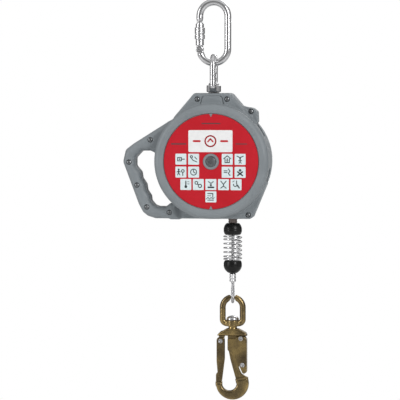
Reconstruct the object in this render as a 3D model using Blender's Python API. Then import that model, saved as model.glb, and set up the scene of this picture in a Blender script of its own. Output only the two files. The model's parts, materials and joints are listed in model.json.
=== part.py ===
"""Self retracting lifeline: a casing with a carrying handle hangs from a carabiner, and a sprung drum
inside it winds in a wire rope that ends in a swivelling snap hook.

Metres, +Z up, the labelled front faces -Y.  The origin is where the carabiner's crown bears on its
anchor.  Outlines of the casing are given from the drum's axis, outlines of the hook from its top.
"""

import math

import bmesh
import bpy
from mathutils import Matrix, Vector

GAP = 0.0003  # between pieces that touch

# Carabiner: an oval of round bar in the XZ plane, with its gate on the left
BAR_R = 0.0055
OVAL_HALF = 0.023  # middle to the bar's centreline, and the radius of both bows
OVAL_INSIDE = 0.087
FOOT_Z = -OVAL_INSIDE - BAR_R
GATE_PIN_Z = -0.0705
GATE_R = 0.0052
NOSE_Z = -0.026
SLEEVE_Z = (-0.064, -0.029)
KNURL_Z = (-0.054, -0.035)

# Swivel eye on the carabiner, seen edge-on, and the stud that carries the casing
EYE_BAR_R = 0.00485
EYE_HALF = 0.015
EYE_CROWN_Z = -OVAL_INSIDE + GAP + EYE_BAR_R
EYE_FOOT_Z = -0.139
EYE_BOSS_R = 0.01175
EYE_BOSS_H = 0.011
STUD_R = 0.005
STUD_HEAD = (0.0085, 0.0047)  # radius and height

# Casing
HUB_Z = -0.250
CASE_TOP = HUB_Z + 0.1086
DRUM_CASE_R = 0.092
SHELL_WALL = 0.005
CASE_DEPTH = 0.044  # parting plane to the crest of the front ring
LABEL_DEPTH = 0.0395
LABEL_R = 0.076
INNER_DEPTH = 0.038
BLOCK_DEPTH = 0.025
EAR_DEPTH = 0.014
RIDGE_H = 0.0022  # on the top block
HANDLE_DEPTH = 0.020
SCREW_R = 0.0019
SCREW_HEAD_R = 0.0037
SCREW_HEAD_H = 0.0024
SCREWS = (  # x, z from the drum's axis, depth of the surface round the head
    (-0.024, 0.0995, BLOCK_DEPTH),
    (0.024, 0.0995, BLOCK_DEPTH),
    (0.0614, 0.0799, EAR_DEPTH),
    (0.057, -0.0865, EAR_DEPTH),
    (-0.070, -0.083, HANDLE_DEPTH),
    (-0.107, -0.0745, HANDLE_DEPTH),
    (-0.123, -0.039, HANDLE_DEPTH),
    (-0.136, -0.002, HANDLE_DEPTH),
    (-0.101, 0.034, HANDLE_DEPTH),
)
CLIP_ANGLES = (32.6, -13.8)
CLIP_HALF_ANGLE = 6.5
CLIP_HALF_WIDTH = 0.009

# Frame, shaft, brake and spring inside the casing
PLATE_DEPTHS = (0.0192, 0.0221)
NECK_HALF = 0.014
NECK_TOP = 0.105
SHAFT_R = 0.008
SHAFT_HALF = 0.0372
SHAFT_HOLE_R = 0.0086  # in the covers
RIM_R = 0.0128  # raised rim round that hole
BUSH_R = 0.010
DRUM_R = 0.074
DRUM_HALF = 0.014
WINDING_HALF = 0.011
CORE_R = 0.038
PACK_R = 0.063
TEETH = 12
TOOTH_TIP_R = 0.047
TOOTH_ROOT_R = 0.053
BRAKE_R = 0.060
PAWL_PIVOT = 0.030
PAWL_DEPTHS = (0.0293, 0.0335)
PAWL_PIN_R = 0.002
CARRIER_DEPTHS = (0.026, 0.029)
DISC_INNER_R = 0.048

# Line and the parts on it, all on one vertical
LINE_X = 0.031
ROPE_R = 0.00225
GUIDE_Z = (-0.350, -0.3395)
BALL_R = 0.0149
UPPER_BALL_Z = (-0.3693, -0.3504)
LOWER_BALL_Z = (-0.4317, -0.4110)
SPRING_WIRE_R = 0.0015
SPRING_TURNS = 6.5
FERRULE_Z = (-0.446, -0.432)

# Snap hook
RING_BAR_R = 0.0049
RING_HALF = 0.0163
RING_CROWN_Z = -0.471
RING_FOOT_Z = -0.518
RING_BOSS_R = 0.0105
RING_BOSS_H = 0.0102
HOOK_Z = -0.5215
HOOK_STUD_HEAD = (0.010, 0.0070)
PLATE_HALF = 0.003  # half thickness of the hook's middle plate
BOWL_HALF = 0.0055
GATE_HALF = 0.0048
LEVER_HALF = 0.0066
BOWL_OUTER = (-0.0004, -0.0895, 0.0268)
BOWL_INNER = (-0.0055, -0.0895, 0.0120)
GATE_PIVOT = (-0.0194, -0.0205)
LEVER_PIVOT = (0.0133, -0.0160)
LEVER_STOP = (0.0162, -0.0591)
RIVET_R = 0.002
RIVET_HEAD_R = 0.0038


# ---------------------------------------------------------------- outlines and shapes


def arc(centre, radius, start, end, steps):
    """Points on an arc, angles in degrees."""
    turn = [math.radians(start + (end - start) * i / steps) for i in range(steps + 1)]
    return [(centre[0] + radius * math.cos(a), centre[1] + radius * math.sin(a)) for a in turn]


def rounded(corners, steps=3):
    """The closed outline through corners (x, z, radius), each rounded to its radius."""
    outline = []
    for i, (x, z, radius) in enumerate(corners):
        corner = Vector((x, z))
        back = (Vector(corners[i - 1][:2]) - corner).normalized()
        ahead = (Vector(corners[(i + 1) % len(corners)][:2]) - corner).normalized()
        if radius == 0:
            outline.append((x, z))
            continue
        half = back.angle(ahead) / 2
        centre = corner + (back + ahead).normalized() * radius / math.sin(half)
        start = corner + back * radius / math.tan(half) - centre
        turn = -start.angle_signed(corner + ahead * radius / math.tan(half) - centre)
        for step in range(steps + 1):
            point = centre + Matrix.Rotation(turn * step / steps, 2) @ start
            if not outline or (point - Vector(outline[-1])).length > 1e-6:
                outline.append(tuple(point))
    return outline


def strap(end, other, half, steps=4):
    """The outline of a strap round its end point and cut square at the other."""
    along = (Vector(other) - Vector(end)).normalized()
    turn = math.degrees(math.atan2(along.y, along.x))
    side = Vector((-along.y, along.x)) * half
    tail = [tuple(Vector(other) - side), tuple(Vector(other) + side)]
    return arc(end, half, turn + 90, turn + 270, 2 * steps) + tail


def shifted(points, dx, dz):
    return [(p[0] + dx, p[1] + dz, *p[2:]) for p in points]


def bevel_rim(shape, face, width, segments):
    bmesh.ops.bevel(shape, geom=list(face.edges), offset=width, segments=segments, profile=0.5,
                    affect="EDGES", clamp_overlap=True)


def prism(outline, low, high, rim=0.0, both=False, segments=1):
    """An XZ outline drawn out along Y.  The rim of the end at high is bevelled, or of both ends."""
    shape = bmesh.new()
    ends = [shape.faces.new([shape.verts.new((x, y, z)) for x, z in outline]) for y in (low, high)]
    bmesh.ops.bridge_loops(shape, edges=[edge for face in ends for edge in face.edges])
    bmesh.ops.recalc_face_normals(shape, faces=shape.faces)
    if rim:
        for face in ends if both else ends[1:]:
            bevel_rim(shape, face, rim, segments)
    return shape


def turned(profile, axis, centre=(0, 0, 0), segments=24):
    """A closed profile of (radius, height) turned round an axis through the centre."""
    place = {
        "X": lambda r, h, a: (h, r * math.cos(a), r * math.sin(a)),
        "Y": lambda r, h, a: (r * math.cos(a), h, r * math.sin(a)),
        "Z": lambda r, h, a: (r * math.cos(a), r * math.sin(a), h),
    }[axis]
    shape = bmesh.new()
    rings = []
    for r, h in profile:
        count = segments if r > 0 else 1
        turn = [2 * math.pi * i / segments for i in range(count)]
        rings.append([shape.verts.new(Vector(centre) + Vector(place(r, h, a))) for a in turn])
    for ring, other in zip(rings, rings[1:] + rings[:1], strict=True):
        if len(ring) == len(other) == 1:
            continue
        for i in range(segments):
            ends = [ring[i % len(ring)], ring[(i + 1) % len(ring)],
                    other[(i + 1) % len(other)], other[i % len(other)]]
            shape.faces.new(dict.fromkeys(ends))
    bmesh.ops.recalc_face_normals(shape, faces=shape.faces)
    return shape


def cylinder(radius, low, high, axis, centre=(0, 0, 0), segments=24):
    return turned([(0, low), (radius, low), (radius, high), (0, high)], axis, centre, segments)


def block(low, high):
    return prism([(low[0], low[2]), (high[0], low[2]), (high[0], high[2]), (low[0], high[2])],
                 low[1], high[1])


def swept(path, across, radius, sides=10, closed=False):
    """Round bar along a path.  across is a direction square to the path, or one for each point."""
    shape = bmesh.new()
    path = [Vector(point) for point in path]
    rings = []
    for i, point in enumerate(path):
        before = path[i - 1] if i or closed else point
        after = path[(i + 1) % len(path)] if i + 1 < len(path) or closed else point
        along = (after - before).normalized()
        first = Vector(across[i] if isinstance(across, list) else across)
        second = along.cross(first).normalized()
        turn = [2 * math.pi * k / sides for k in range(sides)]
        rings.append([shape.verts.new(point + radius * (first * math.cos(a) + second * math.sin(a)))
                      for a in turn])
    pairs = zip(rings, rings[1:] + rings[:1], strict=True) if closed else zip(rings, rings[1:])
    for ring, other in pairs:
        for k in range(sides):
            j = (k + 1) % sides
            shape.faces.new((ring[k], ring[j], other[j], other[k]))
    if not closed:
        shape.faces.new(rings[0])
        shape.faces.new(rings[-1])
    bmesh.ops.recalc_face_normals(shape, faces=shape.faces)
    return shape


def coil(start, end, radius, wire, turns, steps, sides):
    """A helical spring between the middles of its end coils."""
    axis = (Vector(end) - Vector(start)).normalized()
    side = axis.orthogonal().normalized()
    other = axis.cross(side)
    path, across = [], []
    for i in range(round(turns * steps) + 1):
        a = 2 * math.pi * i / steps
        across.append(side * math.cos(a) + other * math.sin(a))
        path.append(Vector(start).lerp(Vector(end), i / (turns * steps)) + across[-1] * radius)
    return swept(path, across, wire, sides)


# ---------------------------------------------------------------- objects


def material(name, colour, roughness, metallic=0.0):
    made = bpy.data.materials.new(name)
    made.use_nodes = True
    shader = made.node_tree.nodes["Principled BSDF"]
    shader.inputs["Base Color"].default_value = (*colour, 1)
    shader.inputs["Roughness"].default_value = roughness
    shader.inputs["Metallic"].default_value = metallic
    return made


def add(name, shape, look=None, axis=None):
    """An object from a shape in world coordinates, on the empty that marks its joint's axis."""
    mesh = bpy.data.meshes.new(name)
    shape.to_mesh(mesh)
    shape.free()
    mesh.shade_smooth()
    mesh.set_sharp_from_angle(angle=math.radians(35))
    if look:
        mesh.materials.append(look)
    made = bpy.data.objects.new(name, mesh)
    bpy.context.collection.objects.link(made)
    if axis:
        made.parent = axis
        made.matrix_parent_inverse = Matrix.Translation(axis.location).inverted()
    return made


def joint(name, location):
    empty = bpy.data.objects.new(name, None)
    empty.location = location
    empty.empty_display_size = 0.01
    bpy.context.collection.objects.link(empty)
    return empty


def boolean(target, operation, label, shape, solver="EXACT"):
    tool = add(f"{target.name}_{label}", shape)
    tool.parent = target.parent
    tool.matrix_parent_inverse = target.matrix_parent_inverse
    tool.hide_render = True
    tool.display_type = "WIRE"
    modifier = target.modifiers.new(label, "BOOLEAN")
    modifier.operation = operation
    modifier.solver = solver
    modifier.object = tool


def cut(target, label, shape, **how):
    boolean(target, "DIFFERENCE", label, shape, **how)


def join(target, label, shape, **how):
    boolean(target, "UNION", label, shape, **how)


# ---------------------------------------------------------------- carabiner and swivel eye


def make_carabiner(steel, body_axis, gate_axis):
    pin = (-OVAL_HALF, GATE_PIN_Z)
    bow_z = FOOT_Z + OVAL_HALF
    neck_z = NOSE_Z + 0.006
    path = arc((0, bow_z), OVAL_HALF, 199, 360, 12)
    path += arc((0, BAR_R - OVAL_HALF), OVAL_HALF, 0, 180, 14) + [(-OVAL_HALF, neck_z)]
    bar = swept([(x, 0, z) for x, z in path], (0, 1, 0), BAR_R, 10)
    body = add("carabiner_body", bar, steel, body_axis)
    join(body, "nose", cylinder(0.0049, NOSE_Z, neck_z + 0.002, "Z", (-OVAL_HALF, 0, 0), 16))
    tang_end = arc((0, bow_z), OVAL_HALF, 206, 206, 1)[0]
    join(body, "tang", prism(strap(pin, tang_end, 0.005), -0.0022, 0.0022))
    cut(body, "pin_hole", cylinder(0.0019, -0.01, 0.01, "Y", (pin[0], 0, pin[1]), 12))
    pin_centre = (pin[0], 0, pin[1])
    add("carabiner_gate_pin", cylinder(0.0016, -0.0058, 0.0058, "Y", pin_centre, 12), steel, body_axis)

    rod = cylinder(GATE_R, pin[1] + 0.002, NOSE_Z - 0.0008, "Z", (pin[0], 0, 0), 20)
    gate = add("carabiner_gate", rod, steel, gate_axis)
    join(gate, "fork", cylinder(0.006, -0.0056, 0.0056, "Y", pin_centre, 20))
    cut(gate, "slot", block((pin[0] - 0.01, -0.0025, pin[1] - 0.01),
                            (pin[0] + 0.01, 0.0025, pin[1] + 0.007)))
    cut(gate, "pin_hole", cylinder(0.0019, -0.01, 0.01, "Y", pin_centre, 12))


def make_sleeve(steel, axis):
    bore, barrel, knurl = GATE_R + GAP, 0.0066, 0.00825
    low, high = SLEEVE_Z
    profile = [(bore, low), (barrel, low), (barrel, KNURL_Z[0] - 0.001), (knurl, KNURL_Z[0]),
               (knurl, -0.0470), (0.0072, -0.0464), (0.0072, -0.0456), (knurl, -0.0450),
               (knurl, KNURL_Z[1]), (barrel, KNURL_Z[1] + 0.001), (barrel, high), (bore, high)]
    add("carabiner_sleeve", turned(profile, "Z", (-OVAL_HALF, 0, 0), 16), steel, axis)


def make_swivel_ring(name, half, crown_z, foot_z, bar_r, boss_r, boss_h, x, lies_in_xz, look, axis):
    """A D-shaped ring whose foot holds a boss with a bore for the swivel stud."""
    bar_z = foot_z + bar_r
    corners = [(-half, bar_z, 0.006), (-half, crown_z, half), (half, crown_z, half),
               (half, bar_z, 0.006)]
    outline = rounded(corners, 4)
    path = [(x + u, 0, z) if lies_in_xz else (x, u, z) for u, z in outline]
    across = (0, 1, 0) if lies_in_xz else (1, 0, 0)
    ring = add(name, swept(path, across, bar_r, 8, closed=True), look, axis)
    boss = [(0, foot_z), (boss_r - 0.001, foot_z), (boss_r, foot_z + 0.001),
            (boss_r, foot_z + boss_h - 0.002), (boss_r - 0.002, foot_z + boss_h), (0, foot_z + boss_h)]
    how = {"solver": "MANIFOLD"}  # EXACT leaves open edges in the bore
    join(ring, "boss", turned(boss, "Z", (x, 0, 0), 18), **how)
    bore = cylinder(STUD_R + GAP, foot_z - 0.01, foot_z + boss_h + 0.01, "Z", (x, 0, 0), 12)
    cut(ring, "bore", bore, **how)


def stud_profile(head_r, head_h, head_z, low_z):
    """Half section of a swivel stud: domed head on top, shank down to low_z."""
    dome = [(head_r * math.cos(a), head_z + 0.001 + (head_h - 0.001) * math.sin(a))
            for a in (math.radians(d) for d in (0, 30, 60))]
    return [(0, low_z), (STUD_R, low_z), (STUD_R, head_z), (head_r, head_z), *dome, (0, head_z + head_h)]


def make_swivel_stud(look, axis):
    head = stud_profile(*STUD_HEAD, EYE_FOOT_Z + EYE_BOSS_H + GAP, CASE_TOP - 0.024)
    add("swivel_stud", turned(head, "Z", segments=14), look["steel"], axis)
    washer = [(STUD_R + GAP, CASE_TOP + GAP), (0.009, CASE_TOP + GAP),
              (0.009, EYE_FOOT_Z - GAP), (STUD_R + GAP, EYE_FOOT_Z - GAP)]
    add("swivel_washer", turned(washer, "Z", segments=14), look["dark"], axis)


# ---------------------------------------------------------------- casing

TOP_BLOCK = [(-0.030, 0.1086, 0.006), (0.030, 0.1086, 0.006), (0.062, 0.0705, 0),
             (0.050, 0.050, 0), (-0.050, 0.050, 0), (-0.062, 0.0705, 0)]
RIDGE = [(-0.0148, 0.1035, 0.002), (0.0148, 0.1035, 0.002), (0.0185, 0.0870, 0), (-0.0185, 0.0870, 0)]
FLANGE = [(-0.0295, 0.1080, 0.006), (0.0295, 0.1080, 0.006), (0.0465, 0.0885, 0.004),
          (0.065, 0.0855, 0.005), (0.072, 0.080, 0.004), (0.0727, 0.0635, 0.002), (0.060, 0.0470, 0),
          (0.080, -0.0315, 0), (0.0878, -0.0350, 0.002),
          (0.065, -0.090, 0.003), (0.060, -0.093, 0.003), (-0.068, -0.093, 0), (-0.060, -0.060, 0),
          (-0.060, 0.050, 0), (-0.070, 0.061, 0)]
HANDLE = [(-0.055, 0.062, 0), (-0.070, 0.065, 0.010), (-0.129, 0.028, 0.015), (-0.142, 0.018, 0.010),
          (-0.1464, -0.0013, 0.012), (-0.1207, -0.070, 0.020), (-0.114, -0.0825, 0.010),
          (-0.106, -0.089, 0.010), (-0.093, -0.093, 0.010), (-0.055, -0.0929, 0),
          (-0.057, -0.066, 0), (-0.070, -0.0685, 0.002), (-0.0765, -0.074, 0.003),
          (-0.089, -0.074, 0.004), (-0.0955, -0.0715, 0.004), (-0.1015, -0.0645, 0.004),
          (-0.1025, -0.0565, 0.005), (-0.1085, -0.0475, 0.005), (-0.1100, -0.0375, 0.005),
          (-0.1165, -0.0280, 0.005), (-0.1180, -0.0180, 0.005), (-0.1265, -0.0080, 0.006),
          (-0.1265, 0.0050, 0.006), (-0.116, 0.0165, 0.006), (-0.101, 0.0165, 0.005),
          (-0.085, 0.008, 0)]


def at_hub(corners, steps=3):
    return shifted(rounded(corners, steps), 0, HUB_Z)


def screw_holes(side):
    """All nine screw holes of one half: through with a sunk seat in front, blind in the rear."""
    holes = bmesh.new()
    for x, z, depth in SCREWS:
        seat = depth - SCREW_HEAD_H - 0.0006
        r, wide = SCREW_R + GAP, SCREW_HEAD_R + 0.0005
        if side < 0:
            profile = [(0, 0.001), (r, 0.001), (r, -seat), (wide, -seat), (wide, -0.03), (0, -0.03)]
        else:
            profile = [(0, -0.001), (r, -0.001), (r, 0.0125), (0, 0.0125)]
        hole = turned(profile, "Y", (x, 0, HUB_Z + z), 8)
        mesh = bpy.data.meshes.new("hole")
        hole.to_mesh(mesh)
        hole.free()
        holes.from_mesh(mesh)
        bpy.data.meshes.remove(mesh)
    return holes


def make_cover(name, side, look, axis):
    """One half of the casing; side is -1 for the front half and 1 for the rear one."""
    hub = (0, 0, HUB_Z)
    seam = side * GAP / 2
    flange = prism(at_hub(FLANGE, 2), seam, side * EAR_DEPTH, rim=0.002)
    shell = add(name, flange, look, axis)
    how = {"solver": "MANIFOLD"}  # EXACT leaves open edges where the cuts meet in the parting plane
    join(shell, "top_block", prism(at_hub(TOP_BLOCK), seam, side * BLOCK_DEPTH, rim=0.002), **how)
    join(shell, "ridge", prism(at_hub(RIDGE, 2), side * 0.020, side * (BLOCK_DEPTH + RIDGE_H), rim=0.0008),
         **how)
    join(shell, "handle", prism(at_hub(HANDLE, 2), seam, side * HANDLE_DEPTH, rim=0.004), **how)
    r, d = DRUM_CASE_R, side * CASE_DEPTH
    bulge = [(0, seam), (r, seam), (r, d - side * 0.008), (r - 0.0015, d - side * 0.0025),
             (r - 0.004, d), (LABEL_R + 0.001, d - side * 0.003), (LABEL_R + 0.0006, side * LABEL_DEPTH),
             (RIM_R, side * LABEL_DEPTH), (RIM_R, side * 0.0412), (0, side * 0.0412)]
    join(shell, "drum_bulge", turned(bulge, "Y", hub, 40), **how)
    inner = r - SHELL_WALL
    cavity = [(0, -side * 0.001), (inner, -side * 0.001), (inner, side * (INNER_DEPTH - 0.003)),
              (inner - 0.003, side * INNER_DEPTH), (0, side * INNER_DEPTH)]
    cut(shell, "cavity", turned(cavity, "Y", hub, 40), **how)
    neck_depth = PLATE_DEPTHS[1] + GAP
    cut(shell, "neck", block((-0.016, min(-side * 0.001, side * neck_depth), HUB_Z + 0.055),
                             (0.016, max(-side * 0.001, side * neck_depth), HUB_Z + 0.1056)),
        **how)
    cut(shell, "stud_hole", cylinder(STUD_R + GAP, -0.155, -0.135, "Z", segments=12), **how)
    outlet = [(0, -0.36), (0.0075, -0.36), (0.0075, GUIDE_Z[1]), (0.013, -0.331), (0.013, -0.32),
              (0, -0.32)]  # opens upwards, where the rope slants in from the drum
    cut(shell, "outlet", turned(outlet, "Z", (LINE_X, 0, 0), 16), **how)
    cut(shell, "shaft_hole", cylinder(SHAFT_HOLE_R, side * 0.03, side * 0.05, "Y", hub, 16), **how)
    cut(shell, "screw_holes", screw_holes(side), **how)


def make_casing(look, axis):
    hub = (0, 0, HUB_Z)
    make_cover("front_cover", -1, look["casing"], axis)
    make_cover("rear_cover", 1, look["casing"], axis)
    for name, side in (("front_label", -1), ("rear_label", 1)):
        low, high = side * (LABEL_DEPTH + GAP), side * (LABEL_DEPTH + 0.0011)
        hole = RIM_R + GAP
        disc = [(hole, low), (LABEL_R, low), (LABEL_R, high), (hole, high)]
        add(name, turned(disc, "Y", hub, 32), look["label"], axis)
    for i, (x, z, depth) in enumerate(SCREWS):
        seat, r = SCREW_HEAD_H + 0.0006 - depth - GAP, SCREW_HEAD_R
        screw = [(0, 0.012), (SCREW_R, 0.012), (SCREW_R, seat), (r, seat),
                 (r, seat - SCREW_HEAD_H + 0.0008), (r - 0.0012, seat - SCREW_HEAD_H),
                 (0, seat - SCREW_HEAD_H)]
        add(f"cover_screw_{i + 1}", turned(screw, "Y", (x, 0, HUB_Z + z), 8), look["steel"], axis)
    for name, angle in zip(("side_clip_upper", "side_clip_lower"), CLIP_ANGLES, strict=True):
        near, far = DRUM_CASE_R + GAP, DRUM_CASE_R + 0.0019
        pad = arc((0, HUB_Z), near, angle - CLIP_HALF_ANGLE, angle + CLIP_HALF_ANGLE, 4)
        pad += arc((0, HUB_Z), far, angle + CLIP_HALF_ANGLE, angle - CLIP_HALF_ANGLE, 4)
        add(name, prism(pad, -CLIP_HALF_WIDTH, CLIP_HALF_WIDTH), look["casing"], axis)


# ---------------------------------------------------------------- inside the casing


def frame_outline(radius, steps=18):
    lift = math.degrees(math.asin(NECK_HALF / radius))
    outline = arc((0, HUB_Z), radius, 90 + lift, 450 - lift, steps)
    return [*outline, (NECK_HALF, HUB_Z + NECK_TOP), (-NECK_HALF, HUB_Z + NECK_TOP)]


def make_frame(look, axis):
    hub = (0, 0, HUB_Z)
    near, far = PLATE_DEPTHS
    for name, side in (("frame_plate_front", -1), ("frame_plate_rear", 1)):
        plate = add(name, prism(frame_outline(BRAKE_R), side * near, side * far), look["plate"], axis)
        cut(plate, "bush_hole", cylinder(BUSH_R + GAP, -0.03, 0.03, "Y", hub, 20))
    for name, side in (("shaft_bush_front", -1), ("shaft_bush_rear", 1)):
        bore, flange = SHAFT_R + GAP, side * (near - GAP)
        bush = [(bore, side * far), (BUSH_R, side * far), (BUSH_R, flange), (0.013, flange),
                (0.013, side * (DRUM_HALF + GAP)), (bore, side * (DRUM_HALF + GAP))]
        add(name, turned(bush, "Y", hub, 12), look["bronze"], axis)
    half_y = near - GAP
    anchor = add("anchor_block", block((-NECK_HALF, -half_y, HUB_Z + 0.088),
                                       (NECK_HALF, half_y, HUB_Z + NECK_TOP)), look["plate"], axis)
    cut(anchor, "stud_bore", cylinder(STUD_R + GAP, -0.17, -0.14, "Z", segments=16))


def make_drum(look, axis):
    hub = (0, 0, HUB_Z)
    bore, edge = SHAFT_R + GAP, WINDING_HALF
    drum = [(bore, -DRUM_HALF), (DRUM_R, -DRUM_HALF), (DRUM_R, -edge), (CORE_R, -edge),
            (CORE_R, edge), (DRUM_R, edge), (DRUM_R, DRUM_HALF), (bore, DRUM_HALF)]
    add("drum", turned(drum, "Y", hub, 26), look["alloy"], axis)
    low, high = -edge + GAP, edge - GAP
    pack = [(CORE_R + GAP, low), (PACK_R, low), (PACK_R, high), (CORE_R + GAP, high)]
    add("cable_pack", turned(pack, "Y", hub, 26), look["rope"], axis)
    add("drum_shaft", cylinder(SHAFT_R, -SHAFT_HALF, SHAFT_HALF, "Y", hub, 24), look["steel"], axis)
    for name, side in (("shaft_screw_front", -1), ("shaft_screw_rear", 1)):
        near = side * (SHAFT_HALF + GAP)
        head = [(0, near), (0.0075, near), (0.0075, side * 0.0408), (0.0063, side * 0.0416),
                (0, side * 0.0416)]
        add(name, turned(head, "Y", hub, 14), look["steel"], axis)


def make_brake(look, casing_axis, drum_axis, pawl_axes):
    hub = (0, 0, HUB_Z)
    low, high = PAWL_DEPTHS
    front, back = CARRIER_DEPTHS
    pitch = 360 / TEETH
    inner = []
    for i in range(TEETH):
        middle = 52.5 + i * pitch
        inner += arc((0, HUB_Z), TOOTH_ROOT_R, middle - 9, middle + 9, 2)
        inner += arc((0, HUB_Z), TOOTH_TIP_R, middle + 10, middle + pitch - 10, 1)
    ring = add("ratchet_ring", prism(arc((0, HUB_Z), BRAKE_R, 0, 360 - pitch / 3, 35), -high, -front),
               look["plate"], casing_axis)
    cut(ring, "teeth", prism(inner, -0.05, -0.02))
    for name, near, far in (("brake_disc_inner", 0.0224, 0.0257), ("brake_disc_outer", 0.0338, 0.0356),
                            ("brake_pressure_plate", 0.0359, 0.0377)):
        disc = [(DISC_INNER_R, -near), (BRAKE_R, -near), (BRAKE_R, -far), (DISC_INNER_R, -far)]
        look_of = look["plate"] if "plate" in name else look["friction"]
        add(name, turned(disc, "Y", hub, 20), look_of, casing_axis)

    bore = SHAFT_R + GAP
    carrier = [(bore, -front), (0.044, -front), (0.044, -back), (bore, -back)]
    plate = add("pawl_carrier", turned(carrier, "Y", hub, 20), look["plate"], drum_axis)
    pawl = [(0.026, -0.007, 0.002), (0.035, -0.007, 0.002), (0.036, 0.005, 0.002),
            (0.033, 0.024, 0.002), (0.027, 0.037, 0.001), (0.0222, 0.0392, 0.001),
            (0.0225, 0.030, 0.002), (0.025, 0.015, 0.002), (0.024, 0.003, 0.002)]
    for i, (turn, pawl_axis) in enumerate(zip((1, -1), pawl_axes, strict=True)):
        pivot = (turn * PAWL_PIVOT, 0, HUB_Z)
        corners = [(turn * x, turn * z, r) for x, z, r in pawl]
        made = add(f"pawl_{i + 1}", prism(at_hub(corners, 2), -high, -low), look["steel"], pawl_axis)
        cut(made, "pin_hole", cylinder(PAWL_PIN_R + GAP, -0.05, -0.02, "Y", pivot, 12))
        cut(plate, f"pin_hole_{i + 1}", cylinder(PAWL_PIN_R + GAP, -0.05, -0.02, "Y", pivot, 12))
        pin = cylinder(PAWL_PIN_R, -high - GAP, -front, "Y", pivot, 12)
        add(f"pawl_pin_{i + 1}", pin, look["steel"], drum_axis)
        y = -(low + high) / 2
        ends = [(turn * u, y, HUB_Z + turn * v) for u, v in ((0.011, 0.013), (0.0195, 0.0215))]
        add(f"pawl_spring_{i + 1}", coil(*ends, 0.0013, 0.0004, 4, 5, 4), look["steel"], drum_axis)


def make_power_spring(look, axis):
    hub = (0, 0, HUB_Z)
    near = PLATE_DEPTHS[1] + GAP
    case = [(0.012, near), (0.058, near), (0.058, 0.0372), (0.0565, 0.0372), (0.0565, near + 0.0015),
            (0.012, near + 0.0015)]
    add("spring_case", turned(case, "Y", hub, 22), look["plate"], axis)
    turns, steps, start, end = 4, 12, 0.0105, 0.0545
    strip = bmesh.new()
    rings = []
    for i in range(turns * steps + 1):
        a = 2 * math.pi * i / steps
        mean = start + (end - start) * i / (turns * steps)
        rings.append([strip.verts.new((r * math.cos(a), y, HUB_Z + r * math.sin(a)))
                      for r, y in ((mean, 0.0248), (mean + 0.0012, 0.0248),
                                   (mean + 0.0012, 0.0365), (mean, 0.0365))])
    for ring, other in zip(rings, rings[1:]):
        for k in range(4):
            j = (k + 1) % 4
            strip.faces.new((ring[k], ring[j], other[j], other[k]))
    strip.faces.new(rings[0])
    strip.faces.new(rings[-1])
    bmesh.ops.recalc_face_normals(strip, faces=strip.faces)
    add("power_spring", strip, look["steel"], axis)


# ---------------------------------------------------------------- line


def make_guide(look, axis):
    low, high = GUIDE_Z
    bore = ROPE_R + 0.0012
    guide = [(bore + 0.0018, low), (0.0070, low), (0.0072, low + 0.001), (0.0072, high - 0.001),
             (0.0060, high), (bore + 0.0022, high), (bore, high - 0.004), (bore, low + 0.003)]
    add("cable_guide", turned(guide, "Z", (LINE_X, 0, 0), 14), look["guide"], axis)


def catmull(points, spacing):
    """Evenly spaced points on a smooth curve through the given ones."""
    points = [Vector(p) for p in points]
    points = [points[0] * 2 - points[1], *points, points[-1] * 2 - points[-2]]
    dense = []
    for a, b, c, d in zip(points, points[1:], points[2:], points[3:]):
        for t in (i / 40 for i in range(40)):
            dense.append((b * 2 + (c - a) * t + (a * 2 - b * 5 + c * 4 - d) * t * t
                          + (b * 3 - a - c * 3 + d) * t ** 3) / 2)
    dense.append(points[-2])
    total = sum((q - p).length for p, q in zip(dense, dense[1:]))
    count = max(2, round(total / spacing))
    even, run, want = [dense[0]], 0.0, total / count
    for p, q in zip(dense, dense[1:]):
        step = (q - p).length
        while run + step >= want - 1e-9 and len(even) < count:
            even.append(p.lerp(q, (want - run) / step if step else 0))
            want += total / count
        run += step
    return [*even, dense[-1]]


def rope_curve(name, route, spacing, look, axis):
    """A plain round tube along the smooth curve through the route's points."""
    curve = bpy.data.curves.new(name, "CURVE")
    curve.dimensions = "3D"
    curve.bevel_depth = ROPE_R
    curve.bevel_resolution = 2
    curve.use_fill_caps = True
    spline = curve.splines.new("POLY")
    points = catmull(route, spacing)
    spline.points.add(len(points) - 1)
    for slot, point in zip(spline.points, points, strict=True):
        slot.co = (*point, 1)
    curve.materials.append(look)
    made = bpy.data.objects.new(name, curve)
    bpy.context.collection.objects.link(made)
    made.parent = axis
    made.matrix_parent_inverse = Matrix.Translation(axis.location).inverted()


# From the side of the wound cable, through the guide, down to the ferrule
LINE_ROUTE = [(0.0611, 0, -0.2765), (0.0530, 0, -0.2950), (0.0440, 0, -0.3150),
              (0.0368, 0, -0.3290), (0.0325, 0, -0.3365), (0.0312, 0, -0.3415), (LINE_X, 0, -0.3480),
              (LINE_X, 0, -0.3560), (LINE_X, 0, -0.3700),
              (LINE_X, 0, -0.3900), (LINE_X, 0, -0.4100), (LINE_X, 0, -0.4230), (LINE_X, 0, -0.4317)]
# Round the top bar of the hook's ring and back into the ferrule
EYE_ROUTE = [(LINE_X, y, z) for y, z in (
    (-0.0025, -0.4467), (-0.0027, -0.4490), (-0.0042, -0.4540), (-0.0063, -0.4605), (-0.0075, -0.4680),
    (-0.0072, -0.4732), (-0.0053, -0.4765), (-0.0028, -0.4781), (0.0, -0.4787), (0.0028, -0.4781),
    (0.0053, -0.4765), (0.0072, -0.4732), (0.0075, -0.4680), (0.0063, -0.4605), (0.0042, -0.4540),
    (0.0027, -0.4490), (0.0025, -0.4467))]


def make_bumper(name, low, high, centre_z, look, axis):
    """A rubber ball with both ends cut flat and a hole for the rope."""
    bore = ROPE_R + 0.0005
    ball = []
    for i in range(6):
        z = low + (high - low) * i / 5
        ball.append((math.sqrt(BALL_R**2 - (z - centre_z) ** 2), z))
    add(name, turned([(bore, low), *ball, (bore, high)], "Z", (LINE_X, 0, 0), 18), look, axis)


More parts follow.
